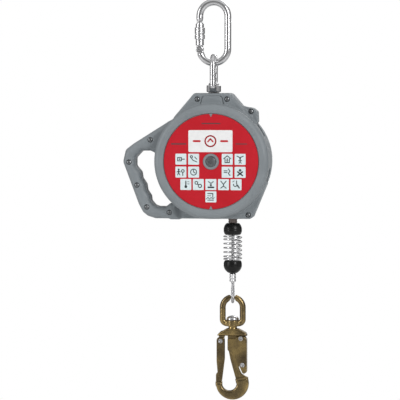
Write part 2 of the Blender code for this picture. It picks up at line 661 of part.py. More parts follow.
def make_line(look, casing_axis, line_axis, bumper_axis):
    make_guide(look, casing_axis)
    rope_curve("lifeline", LINE_ROUTE, 3 * ROPE_R, look["rope"], casing_axis)
    make_bumper("upper_bumper", *UPPER_BALL_Z, -0.3613, look["rubber"], bumper_axis)
    make_bumper("lower_bumper", *LOWER_BALL_Z, -0.4180, look["rubber"], line_axis)
    start = (LINE_X, 0, LOWER_BALL_Z[1] + SPRING_WIRE_R + 2 * GAP)
    end = (LINE_X, 0, UPPER_BALL_Z[0] - SPRING_WIRE_R - 2 * GAP)
    spring = coil(start, end, BALL_R - 0.0009, SPRING_WIRE_R, SPRING_TURNS, 11, 5)
    add("bumper_spring", spring, look["steel"], line_axis)
    low, high = FERRULE_Z
    ferrule = turned([(0, low), (0.0045, low), (0.00525, low + 0.001), (0.00525, high - 0.001),
                      (0.0045, high), (0, high)], "Z", (LINE_X, 0, 0), 20)
    for vertex in ferrule.verts:
        vertex.co.y *= 1.35
    add("cable_ferrule", ferrule, look["alloy"], line_axis)
    rope_curve("cable_eye", EYE_ROUTE, 1.4 * ROPE_R, look["rope"], line_axis)


# ---------------------------------------------------------------- snap hook


def at_hook(points):
    return shifted(points, LINE_X, HOOK_Z)


def on_hook(point):
    return (LINE_X + point[0], 0, HOOK_Z + point[1])


def make_hook_body(look, axis):
    spine = rounded(
        [(-0.008, -0.009, 0), (-0.008, -0.0285, 0.003), (-0.0034, -0.0515, 0.004), (0.005, -0.0815, 0),
         (0.006, -0.0885, 0), (0.020, -0.0865, 0), (0.0245, -0.0800, 0.001), (0.0145, -0.0735, 0.002),
         (0.0103, -0.0645, 0.002), (0.0103, -0.0535, 0.002), (0.018, -0.0385, 0.006),
         (0.0205, -0.0125, 0), (0.020, -0.009, 0)])
    body = add("hook_body", prism(at_hook(spine), -PLATE_HALF, PLATE_HALF), look, axis)
    how = {"solver": "MANIFOLD"}  # EXACT leaves open edges at the stud bore
    ear = strap(GATE_PIVOT, (-0.0165, -0.009), 0.0046)
    join(body, "ear", prism(at_hook(ear), -PLATE_HALF + 0.00005, PLATE_HALF - 0.00005), **how)
    nose = rounded([(-0.0272, -0.0930, 0), (-0.0272, -0.0755, 0.003), (-0.0245, -0.0711, 0.002),
                    (-0.0210, -0.0725, 0.002), (-0.0172, -0.0865, 0), (-0.0180, -0.0930, 0)])
    join(body, "nose", prism(at_hook(nose), -PLATE_HALF, PLATE_HALF), **how)
    x, z, r = BOWL_OUTER
    bowl = arc((x, z), r, 22, -182, 18)
    x, z, r = BOWL_INNER
    bowl += arc((x, z), r, -184, 30, 12)
    join(body, "bowl", prism(at_hook(bowl), -BOWL_HALF, BOWL_HALF, rim=0.002, both=True), **how)
    shoulder = rounded([(-0.0095, 0, 0.001), (0.0095, 0, 0.001), (0.022, -0.0065, 0.003),
                        (0.0245, -0.0118, 0.001), (-0.026, -0.0118, 0.001), (-0.022, -0.0075, 0.003)])
    join(body, "shoulder", prism(at_hook(shoulder), -0.0075, 0.0075, rim=0.0015, both=True), **how)
    centre = (LINE_X, 0, 0)
    collar = cylinder(0.0070, HOOK_Z - 0.006, RING_FOOT_Z - GAP, "Z", centre, 20)
    join(body, "collar", collar, **how)
    bore = cylinder(STUD_R + GAP, HOOK_Z - 0.0089, HOOK_Z + 0.02, "Z", centre, 16)
    cut(body, "stud_bore", bore, **how)
    for name, at in (("gate_hole", GATE_PIVOT), ("lever_hole", LEVER_PIVOT)):
        cut(body, name, cylinder(RIVET_R + GAP, -0.02, 0.02, "Y", on_hook(at), 10), **how)


def make_hook_gate(look, axis):
    cheeks = rounded([(-0.026, -0.0145, 0.005), (-0.013, -0.0145, 0.005), (-0.013, -0.0495, 0.004),
                      (-0.0176, -0.0865, 0.0015), (-0.0218, -0.0865, 0.0015),
                      (-0.0245, -0.0705, 0.002), (-0.026, -0.0535, 0.004)])
    gate = add("hook_gate", prism(at_hook(cheeks), -GATE_HALF, GATE_HALF), look, axis)
    inside = [(-0.0247, -0.0085), (-0.010, -0.0085), (-0.010, -0.0905), (-0.030, -0.0905),
              (-0.030, -0.0685), (-0.0247, -0.0685)]
    cut(gate, "channel", prism(at_hook(inside), -PLATE_HALF - GAP, PLATE_HALF + GAP))
    cut(gate, "pivot_hole", cylinder(RIVET_R + GAP, -0.02, 0.02, "Y", on_hook(GATE_PIVOT), 12))


def make_lock_lever(look, axis):
    cheeks = rounded([(-0.008, -0.0160, 0.002), (0.006, -0.0155, 0.003), (0.010, -0.0122, 0.003),
                      (0.0200, -0.0122, 0.003), (0.0235, -0.0175, 0.004), (0.0235, -0.0705, 0.003),
                      (0.0195, -0.0732, 0.001), (0.0165, -0.0725, 0.001), (0.0084, -0.0545, 0.003),
                      (0.0015, -0.0485, 0.003), (0.0, -0.0435, 0.002), (-0.008, -0.0345, 0.002)])
    lever = add("lock_lever", prism(at_hook(cheeks), -LEVER_HALF, LEVER_HALF), look, axis)
    inside = [(-0.014, -0.0085), (0.0219, -0.0085), (0.0219, -0.080), (-0.014, -0.080)]
    cut(lever, "channel", prism(at_hook(inside), -GATE_HALF - GAP, GATE_HALF + GAP))
    cut(lever, "pivot_hole", cylinder(RIVET_R + GAP, -0.02, 0.02, "Y", on_hook(LEVER_PIVOT), 12))
    cut(lever, "stop_hole", cylinder(RIVET_R + GAP, -0.02, 0.02, "Y", on_hook(LEVER_STOP), 12))


def make_rivet(name, at, under_head, look, axis):
    r, head, top = RIVET_R, RIVET_HEAD_R, under_head + 0.0013
    rivet = [(0, -top), (head - 0.0008, -top), (head, -under_head - 0.0005), (head, -under_head),
             (r, -under_head), (r, under_head), (head, under_head), (head, under_head + 0.0005),
             (head - 0.0008, top), (0, top)]
    add(name, turned(rivet, "Y", on_hook(at), 10), look, axis)


def make_hook(look, hook_axis, gate_axis, lever_axis):
    stud = stud_profile(*HOOK_STUD_HEAD, RING_FOOT_Z + RING_BOSS_H + GAP, HOOK_Z - 0.0086)
    add("hook_stud", turned(stud, "Z", (LINE_X, 0, 0), 14), look["steel"], hook_axis)
    make_hook_body(look["zinc"], hook_axis)
    make_hook_gate(look["zinc"], gate_axis)
    make_lock_lever(look["zinc"], lever_axis)
    make_rivet("hook_gate_rivet", GATE_PIVOT, GATE_HALF + GAP, look["steel"], hook_axis)
    make_rivet("lever_rivet", LEVER_PIVOT, LEVER_HALF + GAP, look["steel"], hook_axis)
    make_rivet("lever_stop_rivet", LEVER_STOP, LEVER_HALF + GAP, look["steel"], lever_axis)


def main():
    for old in list(bpy.data.objects):
        bpy.data.objects.remove(old, do_unlink=True)
    look = {
        "steel": material("bright_steel", (0.62, 0.62, 0.63), 0.22, 1.0),
        "plate": material("plated_steel", (0.50, 0.50, 0.50), 0.40, 1.0),
        "alloy": material("aluminium", (0.70, 0.70, 0.70), 0.40, 1.0),
        "rope": material("wire_rope", (0.55, 0.55, 0.55), 0.35, 1.0),
        "bronze": material("bronze", (0.50, 0.30, 0.12), 0.45, 1.0),
        "zinc": material("yellow_zinc", (0.42, 0.34, 0.17), 0.32, 1.0),
        "casing": material("grey_plastic", (0.21, 0.23, 0.245), 0.55),
        "label": material("red_label", (0.48, 0.012, 0.020), 0.45),
        "rubber": material("black_rubber", (0.012, 0.012, 0.013), 0.50),
        "guide": material("guide_plastic", (0.16, 0.13, 0.12), 0.60),
        "dark": material("dark_washer", (0.03, 0.03, 0.03), 0.60),
        "friction": material("friction_lining", (0.05, 0.045, 0.04), 0.80),
    }
    hub = (0, 0, HUB_Z)
    carabiner = joint("carabiner_axis", (0, 0, 0))
    gate = joint("carabiner_gate_axis", (-OVAL_HALF, 0, GATE_PIN_Z))
    eye = joint("eye_swing_axis", (0, 0, FOOT_Z))
    casing = joint("casing_swivel_axis", (0, 0, EYE_FOOT_Z))
    drum = joint("drum_axis", hub)
    pawls = [joint(f"pawl_{i + 1}_axis", (x, 0, HUB_Z)) for i, x in enumerate((PAWL_PIVOT, -PAWL_PIVOT))]
    line = joint("line_axis", (LINE_X, 0, FERRULE_Z[1]))
    bumper = joint("bumper_axis", (LINE_X, 0, UPPER_BALL_Z[1]))
    ring = joint("ring_swing_axis", (LINE_X, 0, RING_CROWN_Z))
    hook = joint("hook_swivel_axis", (LINE_X, 0, RING_FOOT_Z))
    hook_gate = joint("hook_gate_axis", on_hook(GATE_PIVOT))
    lever = joint("lock_lever_axis", on_hook(LEVER_PIVOT))

    make_carabiner(look["steel"], carabiner, gate)
    make_sleeve(look["steel"], gate)
    make_swivel_ring("swivel_eye", EYE_HALF, EYE_CROWN_Z, EYE_FOOT_Z, EYE_BAR_R, EYE_BOSS_R, EYE_BOSS_H,
                     0, False, look["steel"], eye)
    make_swivel_stud(look, casing)
    make_casing(look, casing)
    make_frame(look, casing)
    make_drum(look, drum)
    make_brake(look, casing, drum, pawls)
    make_power_spring(look, casing)
    make_line(look, casing, line, bumper)
    make_swivel_ring("hook_ring", RING_HALF, RING_CROWN_Z, RING_FOOT_Z, RING_BAR_R, RING_BOSS_R, RING_BOSS_H,
                     LINE_X, True, look["zinc"], ring)
    make_hook(look, hook, hook_gate, lever)


main()
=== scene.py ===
"""The looks of the self retracting lifeline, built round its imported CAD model.

Fine surfaces come from signed distances (metres, negative inside) meshed on a grid.  Outlines of the
casing are given from the drum's axis and outlines of the hook from its top, as in the CAD model.
"""

import json
import math

import bmesh
import bpy
import numpy as np
from mathutils import Matrix, Vector


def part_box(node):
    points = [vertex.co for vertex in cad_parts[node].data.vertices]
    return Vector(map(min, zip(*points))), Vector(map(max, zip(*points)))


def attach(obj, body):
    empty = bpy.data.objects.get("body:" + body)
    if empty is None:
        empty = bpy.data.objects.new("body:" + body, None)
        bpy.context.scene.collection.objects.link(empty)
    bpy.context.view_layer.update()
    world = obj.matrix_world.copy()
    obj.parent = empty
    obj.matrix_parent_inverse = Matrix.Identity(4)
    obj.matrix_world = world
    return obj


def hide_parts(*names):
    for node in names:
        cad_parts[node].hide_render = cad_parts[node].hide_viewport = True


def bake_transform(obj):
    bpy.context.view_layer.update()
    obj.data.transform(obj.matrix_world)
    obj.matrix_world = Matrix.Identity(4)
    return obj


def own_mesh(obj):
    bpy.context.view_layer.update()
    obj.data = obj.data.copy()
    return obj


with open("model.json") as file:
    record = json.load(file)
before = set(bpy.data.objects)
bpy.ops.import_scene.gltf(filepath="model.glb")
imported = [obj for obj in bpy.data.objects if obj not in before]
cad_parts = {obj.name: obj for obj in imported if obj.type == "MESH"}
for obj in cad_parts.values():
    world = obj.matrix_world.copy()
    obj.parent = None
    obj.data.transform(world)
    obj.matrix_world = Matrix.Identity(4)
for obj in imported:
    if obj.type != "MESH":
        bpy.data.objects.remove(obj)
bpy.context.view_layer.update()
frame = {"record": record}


def middle(node):
    low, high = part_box(node)
    return (low + high) / 2


def span(node):
    """The lowest and highest z of a CAD node."""
    low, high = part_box(node)
    return low[2], high[2]


HUB = middle("drum_shaft")
LINE_X = middle("cable_ferrule").x
BAR_LOW, BAR_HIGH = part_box("carabiner_body")
BAR_R = (BAR_HIGH[1] - BAR_LOW[1]) / 2
OVAL_HALF = BAR_HIGH[0] - BAR_R  # half the width of the carabiner's oval, at the middle of the bar
FOOT_Z = BAR_LOW[2] + BAR_R
CASE_R = 0.092  # the drum bulge
LABEL_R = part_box("front_label")[1][0]
LABEL_FACE = -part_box("front_label")[0][1]
SEAM = 0.00015  # half the gap between the covers
STUD_HOLE_R = 0.0053


# ---- node materials


def node_material(name, colour, roughness, metallic=0.0, **sockets):
    made = bpy.data.materials.new(name)
    made.use_nodes = True
    shader = made.node_tree.nodes["Principled BSDF"]
    shader.inputs["Base Color"].default_value = (*colour, 1)
    shader.inputs["Roughness"].default_value = roughness
    shader.inputs["Metallic"].default_value = metallic
    for socket, value in sockets.items():
        shader.inputs[socket.replace("_", " ")].default_value = value
    return made


def noise(material, scale, detail):
    """A noise texture in object coordinates, in the object's metres."""
    tree = material.node_tree
    place = tree.nodes.new("ShaderNodeTexCoord")
    texture = tree.nodes.new("ShaderNodeTexNoise")
    texture.inputs["Scale"].default_value = scale
    texture.inputs["Detail"].default_value = detail
    tree.links.new(place.outputs["Object"], texture.inputs["Vector"])
    return texture.outputs["Fac"]


def ramp(tree, value, *steps):
    """A colour ramp over a value; each step is (position, colour or grey)."""
    made = tree.nodes.new("ShaderNodeValToRGB")
    elements = made.color_ramp.elements
    elements.remove(elements[1])
    for i, (at, tone) in enumerate(steps):
        element = elements.new(at) if i else elements[0]
        element.position = at
        element.color = (*tone, 1) if isinstance(tone, tuple) else (tone, tone, tone, 1)
    tree.links.new(value, made.inputs["Fac"])
    return made.outputs["Color"]


def wire(material, output, socket):
    shader = material.node_tree.nodes["Principled BSDF"]
    material.node_tree.links.new(output, shader.inputs[socket])


def vary(material, socket, scale, detail, low, high):
    """Lets a socket drift between two values with a noise."""
    tones = ramp(material.node_tree, noise(material, scale, detail), (0.3, low), (0.7, high))
    wire(material, tones, socket)


def bump(material, scale, detail, distance, strength):
    tree = material.node_tree
    made = tree.nodes.new("ShaderNodeBump")
    made.inputs["Strength"].default_value = strength
    made.inputs["Distance"].default_value = distance
    tree.links.new(noise(material, scale, detail), made.inputs["Height"])
    wire(material, made.outputs["Normal"], "Normal")


def casing_plastic():
    made = node_material("casing_grey", (0.2, 0.22, 0.235), 0.5, Specular_IOR_Level=0.4)
    vary(made, "Base Color", 26, 5, (0.185, 0.206, 0.220), (0.215, 0.238, 0.253))
    vary(made, "Roughness", 90, 3, 0.42, 0.56)
    bump(made, 2600, 2, 0.00005, 0.5)
    return made


def bright_steel(name="bright_steel", tint=(0.70, 0.70, 0.71), rough=(0.17, 0.24)):
    made = node_material(name, tint, 0.16, 1.0)
    shade = tuple(c * 0.88 for c in tint)
    vary(made, "Base Color", 60, 5, shade, tint)
    vary(made, "Roughness", 120, 3, *rough)
    bump(made, 300, 2, 0.00001, 0.08)
    return made


def yellow_zinc():
    """Yellow passivated steel: straw, olive and faint rose clouds over one another."""
    made = node_material("yellow_zinc", (0.42, 0.34, 0.17), 0.28, 1.0)
    clouds = ramp(made.node_tree, noise(made, 42, 6), (0.30, (0.085, 0.064, 0.040)),
                  (0.52, (0.20, 0.148, 0.072)), (0.80, (0.46, 0.33, 0.13)))
    wire(made, clouds, "Base Color")
    vary(made, "Roughness", 160, 4, 0.18, 0.36)
    bump(made, 700, 4, 0.00004, 0.4)
    return made


def rubber():
    made = node_material("bumper_rubber", (0.005, 0.005, 0.006), 0.36, Specular_IOR_Level=0.25)
    vary(made, "Base Color", 70, 4, 0.003, 0.008)
    vary(made, "Roughness", 180, 3, 0.26, 0.36)
    bump(made, 1500, 2, 0.00003, 0.4)
    return made


def red_film():
    made = node_material("label_red", (0.50, 0.012, 0.022), 0.38, Specular_IOR_Level=0.2)
    vary(made, "Base Color", 12, 4, (0.455, 0.010, 0.018), (0.515, 0.014, 0.026))
    vary(made, "Roughness", 120, 3, 0.34, 0.46)
    bump(made, 500, 2, 0.00002, 0.25)
    return made


def ink(name, colour, roughness=0.42):
    made = node_material(name, colour, roughness)
    dim = tuple(c * 0.93 for c in colour)
    vary(made, "Base Color", 150, 3, dim, colour)
    return made


def rope_steel():
    made = node_material("rope_steel", (0.62, 0.62, 0.63), 0.3, 1.0)
    vary(made, "Base Color", 1200, 3, (0.30, 0.30, 0.31), (0.72, 0.72, 0.73))
    vary(made, "Roughness", 500, 3, 0.22, 0.40)
    bump(made, 3800, 2, 0.00008, 0.5)
    return made


LOOK = {
    "casing": casing_plastic(),
    "steel": bright_steel(tint=(0.62, 0.62, 0.63)),
    "plated": bright_steel("plated_steel", (0.52, 0.52, 0.52), (0.30, 0.45)),
    "alloy": bright_steel("aluminium", (0.72, 0.72, 0.73), (0.28, 0.42)),
    "bronze": bright_steel("sintered_bronze", (0.48, 0.29, 0.12), (0.35, 0.5)),
    "screw": bright_steel("screw_steel", (0.24, 0.25, 0.26), (0.25, 0.40)),
    "zinc": yellow_zinc(),
    "rubber": rubber(),
    "red": red_film(),
    "white": ink("label_white", (0.80, 0.80, 0.80)),
    "tile": ink("label_tile", (0.68, 0.78, 0.80)),
    "glyph": ink("label_glyph", (0.035, 0.05, 0.055)),
    "rope": rope_steel(),
    "guide": ink("guide_brown", (0.15, 0.12, 0.11), 0.55),
    "dark": ink("dark_plastic", (0.03, 0.03, 0.03), 0.55),
    "friction": ink("friction_lining", (0.05, 0.045, 0.04), 0.8),
}


# ---- outlines


def arc(centre, radius, start, end, steps):
    turn = [math.radians(start + (end - start) * i / steps) for i in range(steps + 1)]
    return [(centre[0] + radius * math.cos(a), centre[1] + radius * math.sin(a)) for a in turn]


def rounded(corners, steps=8):
    """The closed outline through corners (x, z, radius), each rounded to its radius."""
    outline = []
    for i, (x, z, radius) in enumerate(corners):
        corner = Vector((x, z))
        back = (Vector(corners[i - 1][:2]) - corner).normalized()
        ahead = (Vector(corners[(i + 1) % len(corners)][:2]) - corner).normalized()
        if radius == 0:
            outline.append((x, z))
            continue
        half = back.angle(ahead) / 2
        centre = corner + (back + ahead).normalized() * radius / math.sin(half)
        start = corner + back * radius / math.tan(half) - centre
        turn = -start.angle_signed(corner + ahead * radius / math.tan(half) - centre)
        for step in range(steps + 1):
            point = centre + Matrix.Rotation(turn * step / steps, 2) @ start
            if not outline or (point - Vector(outline[-1])).length > 1e-6:
                outline.append(tuple(point))
    return outline


TOP_BLOCK = rounded([(-0.030, 0.1086, 0.006), (0.030, 0.1086, 0.006), (0.062, 0.0705, 0),
                     (0.050, 0.050, 0), (-0.050, 0.050, 0), (-0.062, 0.0705, 0)])
RIDGE = rounded([(-0.0148, 0.1035, 0.003), (0.0148, 0.1035, 0.003), (0.0185, 0.0880, 0.002),
                 (-0.0185, 0.0880, 0.002)])
FLANGE = rounded([(-0.0295, 0.1080, 0.006), (0.0295, 0.1080, 0.006), (0.0465, 0.0885, 0.004),
                  (0.065, 0.0855, 0.005), (0.072, 0.080, 0.004), (0.0727, 0.0635, 0.002),
                  (0.060, 0.0470, 0), (0.080, -0.0315, 0), (0.0878, -0.0350, 0.002),
                  (0.065, -0.090, 0.003), (0.060, -0.093, 0.003), (-0.068, -0.093, 0),
                  (-0.060, -0.060, 0), (-0.060, 0.050, 0), (-0.070, 0.061, 0)])
HANDLE = rounded([(-0.055, 0.062, 0), (-0.070, 0.065, 0.010), (-0.129, 0.028, 0.015),
                  (-0.142, 0.018, 0.010), (-0.1464, -0.0013, 0.012), (-0.1207, -0.070, 0.020),
                  (-0.114, -0.0825, 0.010), (-0.106, -0.089, 0.010), (-0.093, -0.093, 0.010),
                  (-0.055, -0.0929, 0), (-0.057, -0.066, 0), (-0.070, -0.0685, 0.002),
                  (-0.0765, -0.074, 0.003), (-0.089, -0.074, 0.004), (-0.0955, -0.0715, 0.004),
                  (-0.1015, -0.0645, 0.004), (-0.1025, -0.0565, 0.005), (-0.1085, -0.0475, 0.005),
                  (-0.1100, -0.0375, 0.005), (-0.1165, -0.0280, 0.005), (-0.1180, -0.0180, 0.005),
                  (-0.1265, -0.0080, 0.006), (-0.1265, 0.0050, 0.006), (-0.116, 0.0165, 0.006),
                  (-0.101, 0.0165, 0.005), (-0.085, 0.008, 0)])
BLOCK_DEPTH, EAR_DEPTH, HANDLE_DEPTH = 0.025, 0.014, 0.020
SCREWS = [(-0.024, 0.0995, BLOCK_DEPTH), (0.024, 0.0995, BLOCK_DEPTH), (0.0614, 0.0799, EAR_DEPTH),
          (0.057, -0.0865, EAR_DEPTH), (-0.070, -0.083, HANDLE_DEPTH), (-0.107, -0.0745, HANDLE_DEPTH),
          (-0.123, -0.039, HANDLE_DEPTH), (-0.136, -0.002, HANDLE_DEPTH), (-0.101, 0.034, HANDLE_DEPTH)]
CLIP_ANGLES = (32.6, -13.8)
# Half section of the drum bulge: (radius, depth)
BULGE = [(-0.01, -0.01), (CASE_R, -0.01), *arc((CASE_R - 0.0085, 0.0355), 0.0085, 0, 88, 10),
         (0.0788, 0.0426), *arc((0.0782, 0.0412), 0.0012, 75, 178, 5), (LABEL_R + 0.0008, 0.0395),
         (0.0128, 0.0395), (0.0128, 0.0408), (0.0123, 0.0413), (0.0091, 0.0413), (0.0086, 0.0408),
         (0.0086, 0.0300), (-0.01, 0.0300)]
CAVITY = [(-0.01, -0.01), (0.087, -0.01), (0.087, 0.035), (0.084, 0.038), (-0.01, 0.038)]


# ---- signed distances and their meshes


def polygon(x, z, points):
    """Signed distance to a closed outline."""
    nearest = np.full(np.broadcast(x, z).shape, 1e9)
    inside = np.zeros(nearest.shape, bool)
    for (ax, az), (bx, bz) in zip(points, points[1:] + points[:1]):
        ex, ez = bx - ax, bz - az
        px, pz = x - ax, z - az
        t = np.clip((px * ex + pz * ez) / (ex * ex + ez * ez + 1e-18), 0, 1)
        nearest = np.minimum(nearest, (px - t * ex) ** 2 + (pz - t * ez) ** 2)
        crosses = (az <= z) != (bz <= z)
        inside ^= crosses & (x < ax + (z - az) * ex / (ez if ez else 1e-18))
    return np.where(inside, -1, 1) * np.sqrt(nearest)


def chain(x, z, points):
    """Distance to an open run of straight pieces."""
    nearest = np.full(np.broadcast(x, z).shape, 1e9)
    for (ax, az), (bx, bz) in zip(points, points[1:]):
        ex, ez = bx - ax, bz - az
        t = np.clip(((x - ax) * ex + (z - az) * ez) / (ex * ex + ez * ez + 1e-18), 0, 1)
        nearest = np.minimum(nearest, (x - ax - t * ex) ** 2 + (z - az - t * ez) ** 2)
    return np.sqrt(nearest)


def meet(a, b, r=0.0):
    """Both at once, with an edge rounded to r."""
    if not r:
        return np.maximum(a, b)
    return np.minimum(np.maximum(a + r, b + r), 0) + np.hypot(np.maximum(a + r, 0),
                                                             np.maximum(b + r, 0)) - r


def blend(a, b, r):
    """Either one, with a fillet of about r where they join."""
    h = np.maximum(r - np.abs(a - b), 0) / r
    return np.minimum(a, b) - h * h * r / 4


def carve(a, b, r=0.0003):
    return -blend(-a, b, r)


def tube(a, b, radius, low, high, h, r=0.0005):
    """A round bar: a and b are measured from its axis, h runs along it."""
    return meet(np.hypot(a, b) - radius, np.maximum(low - h, h - high), r)


def net(values, grid_low, cell, distance):
    """Surface nets: one point for each cell that the surface crosses, moved onto the surface."""
    inside = values < 0
    nx, ny, nz = (n - 1 for n in values.shape)
    count = sum(inside[i:i + nx, j:j + ny, k:k + nz].astype(np.int8) for i in (0, 1) for j in (0, 1)
                for k in (0, 1))
    active = (count > 0) & (count < 8)
    index = np.full(active.shape, -1, np.int64)
    index[active] = np.arange(active.sum())
    cells = np.argwhere(active)
    home = points = grid_low + (cells + 0.5) * cell
    step = cell * 0.05
    for _ in range(4):
        here = distance(*points.T)
        slope = np.stack([distance(*(points + step * np.eye(3)[k]).T) - here for k in range(3)], 1) / step
        length = np.maximum((slope**2).sum(1), 0.05)
        points = points - (here / length)[:, None] * slope
        points = np.clip(points, home - 0.75 * cell, home + 0.75 * cell)
    quads = []
    for axis in range(3):
        u, v = (axis + 1) % 3, (axis + 2) % 3
        first = np.take(inside, range(values.shape[axis] - 1), axis)
        second = np.take(inside, range(1, values.shape[axis]), axis)
        changed = np.argwhere(first != second)
        keep = ((changed[:, u] > 0) & (changed[:, v] > 0) & (changed[:, u] < active.shape[u])
                & (changed[:, v] < active.shape[v]))
        changed = changed[keep]
        back_u, back_v = np.eye(3, dtype=int)[u], np.eye(3, dtype=int)[v]
        ring = [changed - back_u - back_v, changed - back_v, changed, changed - back_u]
        quad = np.stack([index[tuple(c.T)] for c in ring], 1)
        outward = first[tuple(changed.T)]
        quads.append(np.where(outward[:, None], quad, quad[:, ::-1]))
    return points, np.concatenate(quads)


def sculpt(name, distance, low, high, cell, look, smooth_angle):
    """A mesh of the surface where the distance is zero, on a grid over the box."""
    low, high = np.array(low) - 2.2 * cell, np.array(high) + 2.2 * cell
    axes = [low[k] + cell * np.arange(int((high[k] - low[k]) / cell) + 2) for k in range(3)]
    values = distance(axes[0][:, None, None], axes[1][None, :, None], axes[2][None, None, :])
    points, quads = net(values, low, cell, distance)
    mesh = bpy.data.meshes.new(name)
    mesh.vertices.add(len(points))
    mesh.vertices.foreach_set("co", points.astype(np.float32).ravel())
    mesh.loops.add(quads.size)
    mesh.loops.foreach_set("vertex_index", quads.astype(np.int32).ravel())
    mesh.polygons.add(len(quads))
    mesh.polygons.foreach_set("loop_start", np.arange(0, quads.size, 4, dtype=np.int32))
    mesh.update(calc_edges=True)
    mesh.validate()
    return thing(name, mesh, look, smooth_angle)


def thing(name, mesh, look, smooth_angle):
    mesh.shade_smooth()
    if smooth_angle:
        mesh.set_sharp_from_angle(angle=math.radians(smooth_angle))
    mesh.materials.append(look)
    made = bpy.data.objects.new(name, mesh)
    bpy.context.collection.objects.link(made)
    return made


def placed(piece, body, *nodes):
    """Rides on a body in place of CAD nodes."""
    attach(piece, body)
    if nodes:
        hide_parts(*nodes)
    return piece


def sculpted(name, node, body, distance, cell, look, smooth_angle=50):
    """A sculpted piece over a CAD node's box, in the node's place."""
    return placed(sculpt(name, distance, *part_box(node), cell, look, smooth_angle), body, node)


# ---- turned and swept shapes


def built(name, verts, faces, look, smooth_angle):
    mesh = bpy.data.meshes.new(name)
    mesh.from_pydata([tuple(v) for v in verts], [], faces)
    shape = bmesh.new()
    shape.from_mesh(mesh)
    bmesh.ops.recalc_face_normals(shape, faces=shape.faces)
    shape.to_mesh(mesh)
    shape.free()
    return thing(name, mesh, look, smooth_angle)


def lathe(profile, axis, centre, segments=48):
    """(verts, faces) of a closed (radius, height) profile turned about X, Y or Z."""
    verts, faces, rings = [], [], []
    for r, h in profile:
        count = segments if r > 1e-9 else 1
        rings.append(range(len(verts), len(verts) + count))
        for i in range(count):
            a = 2 * math.pi * i / segments
            c, s = r * math.cos(a), r * math.sin(a)
            offset = {"X": (h, c, s), "Y": (c, h, s), "Z": (c, s, h)}[axis]
            verts.append(Vector(centre) + Vector(offset))
    for ring, other in zip(rings, rings[1:] + rings[:1]):
        if len(ring) == len(other) == 1:
            continue
        for i in range(segments):
            j = (i + 1) % segments
            ends = [ring[i % len(ring)], ring[j % len(ring)], other[j % len(other)], other[i % len(other)]]
            faces.append(list(dict.fromkeys(ends)))
    return verts, faces


def turned(name, profile, axis, centre, look, segments=48, smooth_angle=35):
    return built(name, *lathe(profile, axis, centre, segments), look, smooth_angle)


def sweep(path, radius, sides, across):
    """(verts, faces) of a capped round bar; across is one direction for each point."""
    path = [Vector(p) for p in path]
    verts, faces = [], []
    for i, point in enumerate(path):
        along = (path[min(i + 1, len(path) - 1)] - path[max(i - 1, 0)]).normalized()
        first = (Vector(across[i]) - along * along.dot(across[i])).normalized()
        second = along.cross(first)
        for k in range(sides):
            a = 2 * math.pi * k / sides
            verts.append(point + radius * (first * math.cos(a) + second * math.sin(a)))
    for i in range(len(path) - 1):
        for k in range(sides):
            j = (k + 1) % sides
            faces.append([i * sides + k, i * sides + j, (i + 1) * sides + j, (i + 1) * sides + k])
    faces.append(list(range(sides))[::-1])
    faces.append([len(verts) - sides + k for k in range(sides)])
    return verts, faces


def merged(shapes):
    verts, faces = [], []
    for some_verts, some_faces in shapes:
        faces += [[i + len(verts) for i in face] for face in some_faces]
        verts += list(some_verts)
    return verts, faces


# ---- camera, light and floor

AZIMUTH, ELEVATION, DISTANCE, FRAME_WIDTH = 7.0, 3.0, 3.0, 0.648
SENSOR = 36
FLOOR_Z = -1.0
FLOOR_SIDE, FLOOR_BACK = 30, 2


def aimed(obj, place, target):
    obj.location = place
    obj.rotation_euler = (Vector(target) - Vector(place)).to_track_quat("-Z", "Y").to_euler()


def make_camera():
    target = Vector((-0.0225, 0, -0.3135))
    a, e = math.radians(AZIMUTH), math.radians(ELEVATION)
    away = Vector((math.sin(a) * math.cos(e), -math.cos(a) * math.cos(e), math.sin(e)))
    camera = bpy.data.objects.new("camera", bpy.data.cameras.new("camera"))
    camera.data.sensor_width = SENSOR
    camera.data.lens = SENSOR * DISTANCE / FRAME_WIDTH
    camera.data.clip_end = 50
    bpy.context.collection.objects.link(camera)
    aimed(camera, target + away * DISTANCE, target)
    bpy.context.scene.camera = camera


def area_light(name, place, size, power, target=(0, 0, -0.30)):
    light = bpy.data.lights.new(name, "AREA")
    light.shape = "RECTANGLE"
    light.size, light.size_y = size
    light.energy = power
    made = bpy.data.objects.new(name, light)
    bpy.context.collection.objects.link(made)
    aimed(made, place, target)


